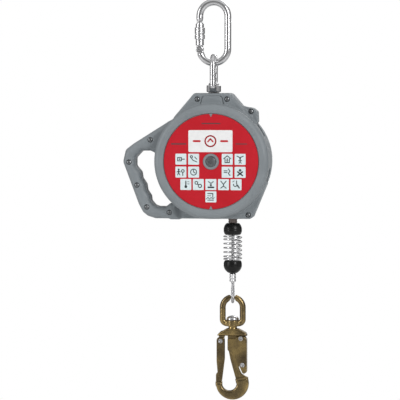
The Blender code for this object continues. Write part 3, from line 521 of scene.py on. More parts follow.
def make_stage():
    world = bpy.data.worlds.new("studio")
    bpy.context.scene.world = world
    world.use_nodes = True
    tree = world.node_tree
    place = tree.nodes.new("ShaderNodeTexCoord")
    split = tree.nodes.new("ShaderNodeSeparateXYZ")
    tree.links.new(place.outputs["Generated"], split.inputs[0])

    def shade(axis, *steps):
        made = tree.nodes.new("ShaderNodeMapRange")
        made.inputs["From Min"].default_value = -1
        tree.links.new(split.outputs[axis], made.inputs["Value"])
        return ramp(tree, made.outputs["Result"], *steps)

    # A white screen behind the object with a dark surround, pale walls in front of it, pale ground
    # beyond the floor and a bright ceiling panel
    wall = shade("Y", (0.0, 0.22), (0.08, 0.28), (0.20, 0.44), (0.50, 0.48), (0.70, 0.40), (0.80, 0.05),
                 (0.955, 0.05), (0.975, 1.0), (1.0, 1.0))
    ground_and_ceiling = shade("Z", (0.0, 0.55), (0.38, 0.55), (0.41, 0.0), (0.62, 0.0), (0.80, 0.08),
                               (0.90, 0.40), (1.0, 0.40))
    both = tree.nodes.new("ShaderNodeMix")
    both.data_type = "RGBA"
    both.blend_type = "ADD"
    both.inputs["Factor"].default_value = 1
    tree.links.new(wall, both.inputs[6])
    tree.links.new(ground_and_ceiling, both.inputs[7])
    tree.links.new(both.outputs[2], tree.nodes["Background"].inputs["Color"])
    tree.nodes["Background"].inputs["Strength"].default_value = 1.0
    bpy.context.scene.view_settings.view_transform = "Standard"
    verts = [(x, y, FLOOR_Z) for x, y in ((-FLOOR_SIDE, -FLOOR_SIDE), (FLOOR_SIDE, -FLOOR_SIDE),
                                          (FLOOR_SIDE, FLOOR_BACK), (-FLOOR_SIDE, FLOOR_BACK))]
    pale = node_material("floor_pale", (0.80, 0.80, 0.80), 0.8, Specular_IOR_Level=0.1)
    vary(pale, "Base Color", 1.5, 3, 0.78, 0.82)
    built("floor", verts, [[0, 1, 2, 3]], pale, 0)
    area_light("key", (1.7, -2.0, 0.7), (0.6, 1.5), 36)
    area_light("strip", (-2.1, -1.5, 0.2), (0.5, 1.8), 22)
    area_light("rim", (0.6, 1.9, 1.1), (1.2, 0.6), 10)


make_camera()
make_stage()


# ---- line

ROPE_R = 0.00225
LAY = 0.0285  # one turn of a strand
TRAVEL = {joint["name"]: joint.get("range_m") for joint in frame["record"]["behaviour"]["joints"]}
PAYOUT, BUMPER_TRAVEL = TRAVEL["line_payout"][1], TRAVEL["bumper_travel"][1]
GUIDE_LOW, GUIDE_HIGH = span("cable_guide")
FERRULE_LOW, FERRULE_HIGH = span("cable_ferrule")
GAP = 0.0003
LEAD_IN = [(0.0611, 0, -0.2765), (0.0530, 0, -0.2950), (0.0440, 0, -0.3150), (0.0368, 0, -0.3290),
           (0.0325, 0, -0.3345)]  # from the wound line to the top of the guide
EYE_SIDE = [(0.0025, -0.4467), (0.0027, -0.4490), (0.0042, -0.4540), (0.0063, -0.4605), (0.0075, -0.4680),
            (0.0072, -0.4732), (0.0053, -0.4765), (0.0028, -0.4781)]
EYE_ROUTE = [(-y, z) for y, z in EYE_SIDE] + [(0.0, -0.4787)] + EYE_SIDE[::-1]


def catmull(points, steps):
    points = [Vector(p) for p in points]
    points = [points[0] * 2 - points[1], *points, points[-1] * 2 - points[-2]]
    smooth = []
    for a, b, c, d in zip(points, points[1:], points[2:], points[3:]):
        for t in (i / steps for i in range(steps)):
            smooth.append((b * 2 + (c - a) * t + (a * 2 - b * 5 + c * 4 - d) * t * t
                           + (b * 3 - a - c * 3 + d) * t**3) / 2)
    return [*smooth, points[-2]]


def run_along(path):
    run = [0.0]
    for a, b in zip(path, path[1:]):
        run.append(run[-1] + (b - a).length)
    return run


def stranded(path, run, side):
    """Six strands laid round a core along a path; run is the length of rope up to each point."""
    strand_r, lay_r = ROPE_R * 0.345, ROPE_R * 0.655
    shapes, frames = [], []
    for i, point in enumerate(path):
        along = (path[min(i + 1, len(path) - 1)] - path[max(i - 1, 0)]).normalized()
        frames.append((point, Vector(side), along.cross(Vector(side)).normalized()))
    for strand in range(6):
        centres, across = [], []
        for (point, first, second), s in zip(frames, run):
            a = 2 * math.pi * (strand / 6 + s / LAY)
            outward = first * math.cos(a) + second * math.sin(a)
            centres.append(point + outward * lay_r)
            across.append(outward)
        shapes.append(sweep(centres, strand_r, 7, across))
    shapes.append(sweep([f[0] for f in frames], lay_r * 0.8, 6, [f[1] for f in frames]))
    return merged(shapes)


def make_lifeline():
    """The free line.  The length that pays out is laid up close together inside the guide, where it
    can't be seen; below the guide the line has its true lay."""
    top, bottom = GUIDE_HIGH + 0.002, GUIDE_LOW + 0.001
    low = FERRULE_HIGH + GAP
    hidden = np.linspace(0, 1, 170)
    seen = np.arange(1, 61) / 60
    share = hidden**2 * (3 - 2 * hidden)
    heights = [*(top + (bottom - top) * hidden), *(bottom + (low - bottom) * seen)]
    run = [*((top - bottom) * hidden + PAYOUT * share), *(top - bottom + PAYOUT + (bottom - low) * seen)]
    path = [Vector((LINE_X, 0, z)) for z in heights]
    rope = built("free_line", *stranded(path, run, (1, 0, 0)), LOOK["rope"], 0)
    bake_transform(rope)
    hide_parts("lifeline")
    lead = catmull([*LEAD_IN, (LINE_X, 0, top + GAP)], 4)
    placed(built("line_lead_in", *stranded(lead, run_along(lead), (0, 1, 0)), LOOK["rope"], 0), "casing",
           "lifeline")
    return rope, path


def make_cable_eye():
    path = catmull([(LINE_X, y, z) for y, z in EYE_ROUTE], 5)
    rope = built("eye_loop", *stranded(path, run_along(path), (1, 0, 0)), LOOK["rope"], 0)
    return placed(rope, "line_end", "cable_eye")


def ferrule_distance(x, y, z):
    x = x - LINE_X
    across = np.hypot(x, y / 1.35) - 0.00525
    ends = np.maximum(FERRULE_LOW - z, z - FERRULE_HIGH)
    crimp = 0.00022 * np.cos((z - FERRULE_LOW) / (FERRULE_HIGH - FERRULE_LOW) * 6 * math.pi)
    return meet(across + 0.0002 + crimp, ends, 0.0009)


def rubber_stop(name, node, body, centre_z):
    """A moulded ball with flat ends, a parting line and softened rims."""
    low, high = span(node)
    r, bore = 0.0149, 0.0028
    profile = [(bore, low + 0.0008), (bore + 0.0008, low)]
    lower = math.sqrt(r * r - (low - centre_z) ** 2)
    profile += [(lower - 0.0009, low), (lower - 0.0002, low + 0.0003)]
    a0 = math.asin((low - centre_z) / r) + 0.06
    a1 = math.asin((high - centre_z) / r) - 0.06
    for i in range(25):
        a = a0 + (a1 - a0) * i / 24
        swell = -0.0003 if abs(r * math.sin(a)) < 0.0004 else 0
        profile.append(((r + swell) * math.cos(a), centre_z + r * math.sin(a)))
    upper = math.sqrt(r * r - (high - centre_z) ** 2)
    profile += [(upper - 0.0002, high - 0.0003), (upper - 0.0009, high), (bore + 0.0008, high),
                (bore, high - 0.0008)]
    placed(turned(name, profile, "Z", (LINE_X, 0, 0), LOOK["rubber"], 64), body, node)


def make_bumpers():
    rubber_stop("upper_stop", "upper_bumper", "upper_bumper", -0.3613)
    rubber_stop("lower_stop", "lower_bumper", "line_end", -0.4180)
    wire_r, mean_r = 0.0015, 0.0139
    low, high = span("lower_bumper")[1] + wire_r + GAP, span("upper_bumper")[0] - wire_r - GAP
    turns, closed, end_pitch, steps = 6.5, 0.9, 0.0031, 30
    path, across = [], []
    for i in range(int(turns * steps) + 1):
        turn = i / steps
        a = 2 * math.pi * turn + 2.2
        ease = np.clip((turn - closed) / (turns - 2 * closed), 0, 1)
        end_turns = np.clip(turn, 0, closed) + np.clip(turn - turns + closed, 0, closed)
        z = low + end_pitch * end_turns + ease * (high - low - 2 * closed * end_pitch)
        outward = Vector((math.cos(a), math.sin(a), 0))
        path.append(Vector((LINE_X, 0, z)) + outward * mean_r)
        across.append(outward)
    spring = placed(built("stop_spring", *sweep(path, wire_r, 14, across), LOOK["steel"], 60), "line_end",
                    "bumper_spring")
    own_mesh(spring)


def make_guide():
    bore = ROPE_R + 0.0012
    profile = [(bore + 0.0020, GUIDE_LOW), (0.0064, GUIDE_LOW), (0.0071, GUIDE_LOW + 0.0007),
               (0.0072, GUIDE_LOW + 0.0030), (0.0066, GUIDE_LOW + 0.0036), (0.0066, GUIDE_LOW + 0.0042),
               (0.0072, GUIDE_LOW + 0.0048), (0.0072, GUIDE_HIGH - 0.001), (0.0062, GUIDE_HIGH),
               (bore + 0.0022, GUIDE_HIGH), (bore + 0.0006, GUIDE_HIGH - 0.0020),
               (bore, GUIDE_HIGH - 0.004), (bore, GUIDE_LOW + 0.003), (bore + 0.0007, GUIDE_LOW + 0.001)]
    placed(turned("outlet_guide", profile, "Z", (LINE_X, 0, 0), LOOK["guide"], 48), "casing",
           "cable_guide")


line, line_path = make_lifeline()
eye_loop = make_cable_eye()
ferrule = sculpted("crimped_ferrule", "cable_ferrule", "line_end", ferrule_distance, 0.0004, LOOK["alloy"])
make_bumpers()
make_guide()


# ---- carabiner and swivels

GATE_PIN_Z = -0.0705
PIN_HOLE_R = 0.0018
SLEEVE_LOW, SLEEVE_HIGH = -0.064, -0.029


def carabiner_distance(x, y, z):
    bow_z = FOOT_Z + OVAL_HALF
    path = arc((0, bow_z), OVAL_HALF, 203, 360, 40)
    path += arc((0, BAR_R - OVAL_HALF), OVAL_HALF, 0, 180, 40) + [(-OVAL_HALF, -0.0205)]
    bar = np.hypot(chain(x, z, path), y) - BAR_R + 0.00005
    left = x + OVAL_HALF
    from_pin = np.hypot(left, z - GATE_PIN_Z)
    nose = tube(left, y, 0.0049, -0.026, -0.016, z, 0.0012)
    body = blend(bar, nose, 0.001)
    body = carve(body, meet(np.abs(y) - 0.0011, np.maximum(-0.027 - z, z + 0.0225)), 0.0006)
    tang_end = arc((0, bow_z), OVAL_HALF, 207, 207, 1)[0]
    tang = meet(chain(x, z, [(-OVAL_HALF, GATE_PIN_Z), tang_end]) - 0.005, np.abs(y) - 0.0022, 0.0006)
    body = carve(body, np.maximum(from_pin - 0.0064, 0.0022 - np.abs(y)), 0.0008)
    return carve(blend(body, tang, 0.0012), from_pin - PIN_HOLE_R)


def gate_distance(x, y, z):
    left, above = x + OVAL_HALF, z - GATE_PIN_Z
    rod = tube(left, y, 0.0052, GATE_PIN_Z, -0.0268, z, 0.0008)
    fork = tube(left, above, 0.006, -0.0056, 0.0056, y, 0.0010)
    gate = carve(blend(rod, fork, 0.003), meet(np.abs(y) - 0.0025, above - 0.007), 0.0006)
    tongue = meet(np.abs(y) - 0.0009, np.maximum(np.abs(left) - 0.003, np.maximum(-0.028 - z, z + 0.0262)))
    return carve(np.minimum(gate, tongue), np.hypot(left, above) - PIN_HOLE_R)


def sleeve_distance(x, y, z):
    left = x + OVAL_HALF
    r = np.hypot(left, y)
    barrel = meet(r - 0.0066, np.maximum(SLEEVE_LOW - z, z - SLEEVE_HIGH), 0.0006)
    turn = 22 * np.arctan2(y, left)  # two crossing sets of 22 grooves
    climb = (z + 0.0445) / 0.00185 * math.pi
    knurl = 0.00011 * (np.abs(np.sin((turn + climb) / 2)) + np.abs(np.sin((turn - climb) / 2)))
    grip = meet(r - 0.00800 - knurl, np.maximum(-0.054 - z, z + 0.035), 0.0009)
    grip = carve(grip, np.maximum(np.abs(z + 0.046) - 0.0007, 0.0072 - r), 0.0004)
    return carve(blend(barrel, grip, 0.0008), r - 0.00545, 0.0006)


def d_ring_distance(u, v, z, half, crown_z, foot_z, bar_r, boss_r, boss_h):
    """A D-shaped ring in the (u, z) plane, v thick, with a bored boss on its foot."""
    bar_z = foot_z + bar_r
    outline = rounded([(-half, bar_z, 0.006), (-half, crown_z, half), (half, crown_z, half),
                       (half, bar_z, 0.006)], 14)
    ring = np.hypot(polygon(u, z, outline), v) - bar_r + 0.00005
    boss = tube(u, v, boss_r, foot_z, foot_z + boss_h, z, 0.0014)
    both = np.maximum(blend(ring, boss, 0.0035), foot_z - z)
    seat = tube(u, v, 0.0112, foot_z + boss_h, foot_z + boss_h + 0.02, z)
    return carve(carve(both, seat, 0.0004), np.hypot(u, v) - STUD_HOLE_R, 0.0006)


def eye_distance(x, y, z):
    bar_r = 0.00485
    return d_ring_distance(y, x, z, 0.015, span("swivel_eye")[1] - bar_r, -0.139, bar_r, 0.01175, 0.011)


def hook_ring_distance(x, y, z):
    return d_ring_distance(x - LINE_X, y, z, 0.0163, -0.471, -0.518, 0.0049, 0.0105, 0.0102)


def stud(name, node, body, head_r, head_z, head_h, x):
    """A swivel stud with a domed head."""
    shank_r, rim, low = 0.005, 0.0012, span(node)[0]
    dome = [(head_r * math.cos(a), head_z + rim + (head_h - rim) * math.sin(a))
            for a in (math.radians(d) for d in range(0, 90, 8))]
    profile = [(0, low), (shank_r, low), (shank_r, head_z), (head_r - 0.0004, head_z),
               (head_r, head_z + 0.0004), *dome, (0, head_z + head_h)]
    placed(turned(name, profile, "Z", (x, 0, 0), LOOK["steel"], 48), body, node)


def make_hardware():
    steel = LOOK["steel"]
    sculpted("carabiner_bar", "carabiner_body", "carabiner", carabiner_distance, 0.00075, steel)
    sculpted("carabiner_gate_bar", "carabiner_gate", "carabiner_gate", gate_distance, 0.0005, steel)
    sculpted("knurled_sleeve", "carabiner_sleeve", "carabiner_sleeve", sleeve_distance, 0.00034, steel, 70)
    pin = [(0, -0.0060), (0.0010, -0.0060), (0.0015, -0.0056), (0.0015, 0.0056), (0.0010, 0.0060),
           (0, 0.0060)]
    placed(turned("gate_pin", pin, "Y", (-OVAL_HALF, 0, GATE_PIN_Z), steel, 24), "carabiner",
           "carabiner_gate_pin")
    sculpted("forged_eye", "swivel_eye", "eye", eye_distance, 0.0007, steel)
    sculpted("forged_ring", "hook_ring", "hook_ring", hook_ring_distance, 0.0006, LOOK["zinc"])
    stud("domed_stud", "swivel_stud", "casing", 0.0085, -0.1277, 0.0047, 0)
    stud("hook_swivel_stud", "hook_stud", "hook", 0.010, -0.5075, 0.0070, LINE_X)


make_hardware()


# ---- casing


def pan_screw_distance(x, z, depth):
    """A cover screw: domed head with a cross recess, on a plain shank."""
    seat = 0.0030 - depth

    def distance(px, py, pz):
        u, v, h = px - x, pz - (HUB.z + z), -(py - seat)
        r = np.hypot(u, v)
        ball = np.sqrt(r * r + (h + 0.0040) ** 2) - 0.0064
        head = meet(meet(r - 0.0037, -h, 0.0003), ball, 0.0006)
        arms = np.minimum(np.maximum(np.abs(u) - 0.00055, np.abs(v) - 0.0021),
                          np.maximum(np.abs(v) - 0.00055, np.abs(u) - 0.0021))
        head = carve(head, np.maximum(arms, 0.0009 - h), 0.0002)
        shank = np.maximum(r - 0.0019, np.maximum(py - 0.0119, -0.0005 - h))
        return np.minimum(head, np.maximum(shank, h - 0.0008))

    return distance


def shaft_screw_distance(side):
    """The screw in the drum shaft's end: a round head with a hexagonal socket and a ring groove."""

    def distance(x, y, z):
        h = side * y - 0.0375
        r = np.hypot(x, z - HUB.z)
        head = meet(r - 0.0075, np.maximum(-h, h - 0.0041), 0.0009)
        across = np.maximum(np.abs(x), np.abs(x) / 2 + np.abs(z - HUB.z) * 0.8660) - 0.0030
        head = carve(head, np.maximum(across, 0.0012 - h), 0.0003)
        ring = np.maximum(np.abs(r - 0.0054) - 0.00025, 0.0038 - h)
        return carve(head, ring, 0.0002)

    return distance


def cover_distance(side):
    """One half of the casing, side -1 for the front."""

    def slab(x, h, d, outline, depth, r):
        return meet(polygon(x, h, outline), d - depth, r)

    def distance(x, y, z):
        d, h = side * y, z - HUB.z
        r = np.hypot(x, h)
        flange = slab(x, h, d, FLANGE, EAR_DEPTH, 0.0022)
        block = slab(x, h, d, TOP_BLOCK, BLOCK_DEPTH, 0.0032)
        panel = polygon(x, h, RIDGE)
        ridge = meet(panel, d - BLOCK_DEPTH - 0.0021, 0.0010)
        block = carve(block, np.maximum(np.abs(panel - 0.0007) - 0.0007, BLOCK_DEPTH - 0.0012 - d))
        handle = slab(x, h, d, HANDLE, HANDLE_DEPTH, 0.0085)
        shell = blend(flange, handle, 0.006)
        shell = blend(shell, blend(block, np.maximum(ridge, 0.02 - d), 0.0012), 0.005)
        shell = blend(shell, polygon(r, d, BULGE), 0.0035)
        for angle in CLIP_ANGLES:
            rim = np.maximum(np.abs(clip_pad(x, d, h, angle)) - 0.0004, CASE_R - 0.0009 - r)
            shell = carve(shell, np.maximum(rim, -x))
        for sx, sz, depth in SCREWS:
            hole = np.hypot(x - sx, h - sz)
            shell = carve(shell, np.maximum(hole - 0.0043, depth - 0.0030 - d), 0.0006)
            shell = np.maximum(shell, 0.0022 - hole)
        neck = np.maximum(np.abs(x) - 0.016, np.maximum(0.055 - h, np.maximum(h - 0.1056, d - 0.0224)))
        inside = np.minimum(polygon(r, d, CAVITY), neck)
        stud_hole = np.maximum(np.hypot(x, d) - STUD_HOLE_R, 0.100 - h)
        flare = 0.0075 + np.clip(z - GUIDE_HIGH, 0, 0.0085) * 0.65
        outlet = np.maximum(np.hypot(x - LINE_X, d) - flare, h + 0.070)
        shell = carve(shell, np.minimum(inside, np.minimum(stud_hole, outlet)), 0.0005)
        return meet(shell, SEAM - d, 0.0007)

    return distance


def clip_pad(x, y, h, angle):
    """The outline of a side clip, laid round the drum's rim."""
    a = math.radians(angle)
    along = CASE_R * np.arctan2(h * math.cos(a) - x * math.sin(a), x * math.cos(a) + h * math.sin(a))
    return meet(np.abs(along) - 0.0104, np.abs(y) - 0.009, 0.0020)


def clip_distance(angle):
    def distance(x, y, z):
        pad = clip_pad(x, y, z - HUB.z, angle)
        return meet(pad, np.abs(np.hypot(x, z - HUB.z) - 0.0931) - 0.0009, 0.0006)

    return distance


def make_casing():
    grey = LOOK["casing"]
    for side, name in ((-1, "front"), (1, "rear")):
        sculpted(f"{name}_half", f"{name}_cover", "casing", cover_distance(side), 0.0011, grey, 60)
        low, high, hole_r = LABEL_FACE - 0.0008, LABEL_FACE, 0.0131
        disc = [(hole_r, side * low), (LABEL_R, side * low), (LABEL_R, side * (high - 0.0002)),
                (LABEL_R - 0.0002, side * high), (hole_r, side * high)]
        placed(turned(f"{name}_label_disc", disc, "Y", HUB, LOOK["red"], 160), "casing", f"{name}_label")
        sculpted(f"{name}_shaft_screw", f"shaft_screw_{name}", "drum", shaft_screw_distance(side), 0.00028,
                 LOOK["screw"])
    for i, (x, z, depth) in enumerate(SCREWS, 1):
        sculpted(f"pan_screw_{i}", f"cover_screw_{i}", "casing", pan_screw_distance(x, z, depth), 0.00033,
                 LOOK["screw"])
    for name, angle in zip(("upper", "lower"), CLIP_ANGLES):
        sculpted(f"{name}_clip", f"side_clip_{name}", "casing", clip_distance(angle), 0.0005, grey)
    low, high = span("swivel_washer")
    ring = [(STUD_HOLE_R, low), (0.0086, low), (0.0089, low + 0.0003), (0.0089, high - 0.0003),
            (0.0086, high), (STUD_HOLE_R, high)]
    placed(turned("dark_washer", ring, "Z", (0, 0, 0), LOOK["dark"], 48), "casing", "swivel_washer")


make_casing()


# ---- label art

TILE = 0.0176
TILE_PAIRS = (-0.0483, -0.0278, 0.0262, 0.0468)  # two tiles each side of the shaft screw
TILE_ROWS = [(0.0038, TILE_PAIRS), (-0.0168, TILE_PAIRS),
             (-0.0366, (-0.0403, -0.0202, 0.0, 0.0202, 0.0403)), (-0.0562, (0.0,))]
FILM, PRINT = (0.00002, 0.00010), (0.00013, 0.00006)  # lift off the label's face and thickness
PANEL = [(-0.0362, 0.0502, 0.0022), (0.0346, 0.0502, 0.0022), (0.0346, 0.0152, 0.0022),
         (-0.0362, 0.0152, 0.0022)]


def plates(name, outlines, lift, thick, look):
    """Flat closed outlines (x, z from the hub) as thin plates on the label's face."""
    verts, faces = [], []
    for outline in outlines:
        n, start = len(outline), len(verts)
        for y in (-LABEL_FACE - lift - thick, -LABEL_FACE - lift):
            verts += [(x, y, HUB.z + z) for x, z in outline]
        faces += [list(range(start, start + n)), list(range(start + n, start + 2 * n))[::-1]]
        faces += [[start + i, start + (i + 1) % n, start + n + (i + 1) % n, start + n + i]
                  for i in range(n)]
    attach(built(name, verts, faces, look, 30), "casing")


def square(x, z, half, r):
    """A square with rounded corners."""
    corners = ((-half, half), (half, half), (half, -half), (-half, -half))
    return rounded([(x + u, z + v, r) for u, v in corners], 4)


def stroke(points, width=0.16):
    """Outlines of a drawn line, each run a thin bar with pointed ends, in tile units."""
    bars = []
    for a, b in zip(points, points[1:]):
        a, b = Vector(a), Vector(b)
        along = (b - a).normalized() * width / 2
        side = Vector((-along.y, along.x))
        bars.append([tuple(p) for p in (a - along, a + side, b + side, b + along, b - side, a - side)])
    return bars


def ring(x, z, r, width=0.15):
    return stroke(arc((x, z), r, 0, 360, 16), width)


def dot(x, z, r):
    return [arc((x, z), r, 0, 337.5, 15)]


def person(x, z, size):
    """A standing figure with its arms down."""

    def limbs(points, width):
        return stroke([(x + u * size, z + v * size) for u, v in points], width * size)

    head = dot(x, z + 0.42 * size, 0.16 * size)
    return (head + limbs([(0, 0.22), (0, -0.12)], 0.2) + limbs([(-0.3, 0), (0, 0.2), (0.3, 0)], 0.12)
            + limbs([(-0.2, -0.5), (0, -0.1), (0.2, -0.5)], 0.13))


def pictograms():
    """One little drawing for each tile, in the order of the rows."""
    box = [(-0.6, 0.3), (0.1, 0.3), (0.1, -0.3), (-0.6, -0.3), (-0.6, 0.3)]
    hook = [(0.1, 0.7), (0.1, 0.2), *arc((-0.15, 0.0), 0.32, 40, -200, 8)]
    wave = [(x / 8, 0.14 * math.sin(x * 1.3)) for x in range(-6, 7)]
    roof = [(-0.65, 0.1), (0, 0.65), (0.65, 0.1)]
    return [
        stroke(box) + stroke([(0.1, 0.0), (0.7, 0.0)]) + dot(-0.25, 0, 0.14),
        ring(-0.4, 0.45, 0.2) + stroke([(-0.4, 0.2), (-0.1, -0.2), (0.6, -0.5)])
        + stroke([(0.2, 0.4), (0.6, 0)]),
        stroke(roof) + stroke([(-0.4, 0.1), (-0.4, -0.6), (0.4, -0.6), (0.4, 0.1)]) + person(0, -0.2, 0.7),
        stroke([(-0.6, 0.6), (0.0, 0.3), (0.6, 0.6)]) + person(0, -0.25, 1.0),
        person(-0.4, 0.0, 1.1) + ring(0.35, 0.2, 0.25) + stroke([(0.35, -0.1), (0.35, -0.65)]),
        ring(0, 0, 0.55) + stroke([(0, 0), (0, 0.4)]) + stroke([(0, 0), (0.3, -0.15)]),
        stroke([(-0.6, 0.25), (0.0, 0.25)]) + stroke([(-0.6, -0.05), (0.0, -0.05)])
        + stroke([(0.2, 0.6), (0.5, 0.2), (0.2, -0.2), (0.5, -0.6)]),
        dot(0, 0.35, 0.24) + stroke([(-0.45, 0.1), (0.45, -0.6)], 0.26)
        + stroke([(0.45, 0.1), (-0.45, -0.6)], 0.26),
        dot(0, -0.4, 0.26) + stroke([(0, -0.4), (0, 0.6)], 0.22) + stroke([(0.3, 0.5), (0.6, 0.5)], 0.1)
        + stroke([(0.3, 0.1), (0.6, 0.1)], 0.1),
        ring(-0.35, 0.3, 0.26) + ring(0.3, -0.25, 0.3) + stroke([(-0.2, 0.1), (0.1, -0.05)]),
        stroke([(-0.45, 0.55), (0, 0.2), (0.45, 0.55)]) + dot(0, -0.1, 0.2)
        + stroke([(-0.5, -0.5), (0.5, -0.5)], 0.3),
        stroke([(-0.5, 0.65), (0, 0.05), (0.5, 0.65)]) + stroke([(0, 0.05), (0, -0.3)])
        + stroke([(-0.5, -0.65), (0, -0.25), (0.5, -0.65)]),
        stroke(hook) + stroke([(0.25, -0.1), (0.6, -0.6)], 0.24) + stroke([(-0.6, 0.5), (-0.3, 0.7)], 0.1),
        stroke([(-0.6, 0.6), (0.35, 0.6), (0.35, -0.1)]) + stroke([(-0.6, 0.2), (0.0, 0.2)], 0.1)
        + stroke([(x - 0.1, z - 0.25) for x, z in wave], 0.12) + stroke([(-0.6, -0.6), (0.5, -0.6)]),
    ]


def make_label_art():
    centres = [(x, z) for z, row in TILE_ROWS for x in row]
    plates("label_tiles", [square(x, z, TILE / 2, 0.0012) for x, z in centres], *FILM, LOOK["tile"])
    plates("label_panel", [rounded(PANEL, 4)], *FILM, LOOK["white"])
    glyphs = []
    for (x, z), drawing in zip(centres, pictograms(), strict=True):
        glyphs += [[(x + u * TILE / 2, z + v * TILE / 2) for u, v in outline] for outline in drawing]
    plates("label_pictograms", glyphs, *PRINT, LOOK["glyph"])
    mid = ((PANEL[0][0] + PANEL[1][0]) / 2, (PANEL[0][1] + PANEL[2][1]) / 2)
    emblem = ring(0, 0, 0.82, 0.22) + stroke([(-0.4, -0.1), (0, 0.35), (0.4, -0.1)], 0.22)
    emblem += stroke([(-1.6, 0), (-2.6, 0)], 0.3) + stroke([(1.6, 0), (2.6, 0)], 0.3)
    emblem_r = 0.0105
    plates("label_emblem", [[(mid[0] + u * emblem_r, mid[1] + v * emblem_r) for u, v in outline]
                            for outline in emblem], *PRINT, LOOK["red"])
    rules = [(-0.0150, 0.0150, 0.0615, 0.0600), (-0.0640, -0.0400, 0.0290, 0.0272),
             (0.0395, 0.0580, 0.0290, 0.0276)]
    plates("label_rules", [[(left, top), (right, top), (right, low), (left, low)]
                           for left, right, top, low in rules], FILM[0], PRINT[1], LOOK["glyph"])
    notch = [(-0.0028, LABEL_R + 0.0005), (0.0028, LABEL_R + 0.0005), (0.0004, LABEL_R - 0.0046),
             (-0.0004, LABEL_R - 0.0046)]
    plates("label_keys", [notch, [(x, -z) for x, z in notch]], FILM[0], 0.0006, LOOK["casing"])


make_label_art()


# ---- snap hook

HOOK_TOP = -0.5215
GATE_PIVOT, LEVER_PIVOT, LEVER_STOP = (-0.0194, -0.0205), (0.0133, -0.0160), (0.0162, -0.0591)
RIVET_HOLE_R = 0.0023
PLATE_HALF, GATE_HALF, LEVER_HALF, FOLD = 0.0029, 0.0048, 0.0066, 0.0015
SPINE = rounded([(-0.008, -0.009, 0), (-0.008, -0.0285, 0.003), (-0.0034, -0.0515, 0.004),
                 (0.005, -0.0815, 0), (0.006, -0.0885, 0), (0.020, -0.0865, 0), (0.0245, -0.0800, 0.001),
                 (0.0145, -0.0735, 0.002), (0.0103, -0.0645, 0.002), (0.0103, -0.0535, 0.002),
                 (0.018, -0.0385, 0.006), (0.0205, -0.0125, 0), (0.020, -0.009, 0)], 4)
NOSE = rounded([(-0.0272, -0.0930, 0), (-0.0272, -0.0755, 0.003), (-0.0245, -0.0711, 0.002),
                (-0.0210, -0.0725, 0.002), (-0.0172, -0.0865, 0), (-0.0180, -0.0930, 0)], 4)
BOWL = arc((-0.0004, -0.0895), 0.0268, 22, -182, 40) + arc((-0.0055, -0.0895), 0.0120, -184, 30, 28)
SHOULDER = rounded([(-0.0095, 0, 0.001), (0.0095, 0, 0.001), (0.022, -0.0065, 0.003),
                    (0.0245, -0.0118, 0.001), (-0.026, -0.0118, 0.001), (-0.022, -0.0075, 0.003)], 4)
GATE_CHEEK = rounded([(-0.026, -0.0145, 0.005), (-0.013, -0.0145, 0.005), (-0.013, -0.0495, 0.004),
                      (-0.0176, -0.0865, 0.0015), (-0.0218, -0.0865, 0.0015), (-0.0245, -0.0705, 0.002),
                      (-0.026, -0.0535, 0.004)], 5)
GATE_CHANNEL = [(-0.0247, -0.0085), (-0.010, -0.0085), (-0.010, -0.0905), (-0.030, -0.0905),
                (-0.030, -0.0685), (-0.0247, -0.0685)]
LEVER_CHEEK = rounded([(-0.008, -0.0160, 0.002), (0.006, -0.0155, 0.003), (0.010, -0.0122, 0.003),
                       (0.0200, -0.0122, 0.003), (0.0235, -0.0175, 0.004), (0.0235, -0.0705, 0.003),
                       (0.0195, -0.0732, 0.001), (0.0165, -0.0725, 0.001), (0.0084, -0.0545, 0.003),
                       (0.0015, -0.0485, 0.003), (0.0, -0.0435, 0.002), (-0.008, -0.0345, 0.002)], 5)
LEVER_CHANNEL = [(-0.014, -0.0085), (0.0219, -0.0085), (0.0219, -0.080), (-0.014, -0.080)]


def pivot_hole(x, h, pivot):
    return np.hypot(x - pivot[0], h - pivot[1]) - RIVET_HOLE_R


def hook_body_distance(px, y, pz):
    x, h, side = px - LINE_X, pz - HOOK_TOP, np.abs(y)
    spine = meet(polygon(x, h, SPINE), side - PLATE_HALF, 0.0008)
    ear = chain(x, h, [GATE_PIVOT, (-0.0165, -0.009)]) - 0.0046  # carries the gate's rivet
    ear = meet(ear, side - PLATE_HALF, 0.0006)
    nose = meet(polygon(x, h, NOSE), side - PLATE_HALF, 0.0008)
    bowl = meet(polygon(x, h, BOWL), side - 0.0054, 0.0034)
    shoulder = meet(polygon(x, h, SHOULDER), side - 0.0074, 0.0028)
    collar = np.maximum(np.hypot(x, y) - 0.0069, np.maximum(-0.006 - h, pz + 0.5183))
    body = blend(blend(spine, ear, 0.001), blend(nose, bowl, 0.003), 0.003)
    body = blend(body, blend(shoulder, collar, 0.002), 0.002)
    holes = np.minimum(pivot_hole(x, h, GATE_PIVOT), pivot_hole(x, h, LEVER_PIVOT))
    bore = np.maximum(np.hypot(x, y) - STUD_HOLE_R, -0.0089 - h)
    return carve(body, np.minimum(holes, bore), 0.0004)


def folded(x, h, side, cheek, channel, half):
    """A folded sheet part: two cheeks, half a width out, joined along the channel's outer edge."""
    cheeks = meet(polygon(x, h, cheek), side - half, 0.0012)
    return carve(cheeks, np.maximum(polygon(x, h, channel), side - half + FOLD), 0.0004)


def hook_gate_distance(px, y, pz):
    x, h, side = px - LINE_X, pz - HOOK_TOP, np.abs(y)
    cheeks = folded(x, h, side, GATE_CHEEK, GATE_CHANNEL, GATE_HALF)
    return carve(cheeks, pivot_hole(x, h, GATE_PIVOT), 0.0003)


def lock_lever_distance(px, y, pz):
    x, h, side = px - LINE_X, pz - HOOK_TOP, np.abs(y)
    cheeks = folded(x, h, side, LEVER_CHEEK, LEVER_CHANNEL, LEVER_HALF)
    for pivot in (LEVER_PIVOT, LEVER_STOP):
        cheeks = carve(cheeks, pivot_hole(x, h, pivot), 0.0003)
    return cheeks


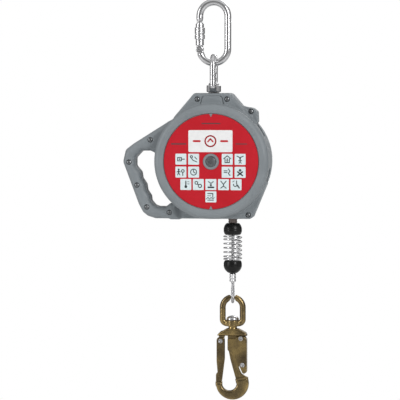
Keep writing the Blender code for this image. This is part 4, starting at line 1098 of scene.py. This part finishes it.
def rivet(name, node, at, under, body):
    """A tubular rivet with rolled rims; its heads start at under, each side."""
    r, head, top = 0.0020, 0.0038, under + 0.0013
    side = [(head, under), (head, under + 0.0003), (head - 0.0004, under + 0.0008),
            (head - 0.0010, top), (head - 0.0015, top), (0.0019, top - 0.0005), (0.0016, under - 0.0012)]
    profile = [(0, 0.0012 - under), *[(a, -b) for a, b in side[::-1]], (r, -under), (r, under), *side,
               (0, under - 0.0012)]
    centre = (LINE_X + at[0], 0, HOOK_TOP + at[1])
    placed(turned(name, profile, "Y", centre, LOOK["steel"], 32), body, node)


def make_hook():
    for name, node, distance, cell, body in (
            ("forged_hook", "hook_body", hook_body_distance, 0.00060, "hook"),
            ("folded_gate", "hook_gate", hook_gate_distance, 0.00045, "hook_gate"),
            ("folded_lever", "lock_lever", lock_lever_distance, 0.00045, "lock_lever")):
        sculpted(name, node, body, distance, cell, LOOK["zinc"])
    rivet("gate_rivet", "hook_gate_rivet", GATE_PIVOT, GATE_HALF + GAP, "hook")
    rivet("lever_pivot_rivet", "lever_rivet", LEVER_PIVOT, LEVER_HALF + GAP, "hook")
    rivet("lever_end_rivet", "lever_stop_rivet", LEVER_STOP, LEVER_HALF + GAP, "lock_lever")


make_hook()


# ---- finishes of the inner parts, and a table of slot names

INNER = {
    "plated": ("frame_plate_front", "frame_plate_rear", "anchor_block", "ratchet_ring", "pawl_carrier",
               "brake_pressure_plate", "spring_case"),
    "steel": ("drum_shaft", "pawl_1", "pawl_2", "pawl_pin_1", "pawl_pin_2", "pawl_spring_1",
              "pawl_spring_2", "power_spring"),
    "bronze": ("shaft_bush_front", "shaft_bush_rear"),
    "alloy": ("drum",),
    "rope": ("cable_pack",),
    "friction": ("brake_disc_inner", "brake_disc_outer"),
}
SLOT_OF = {"plated": "plated_steel", "zinc": "yellow_zinc", "screw": "plated_steel", "red": "label",
           "rope": "wire_rope", "guide": "guide_plastic", "dark": "dark_plastic"}
SLOT_OF |= {key: key for key in ("casing", "steel", "alloy", "bronze", "rubber", "friction")}

for look, nodes in INNER.items():
    for node in nodes:
        bpy.data.objects[node].data.materials[0] = LOOK[look]
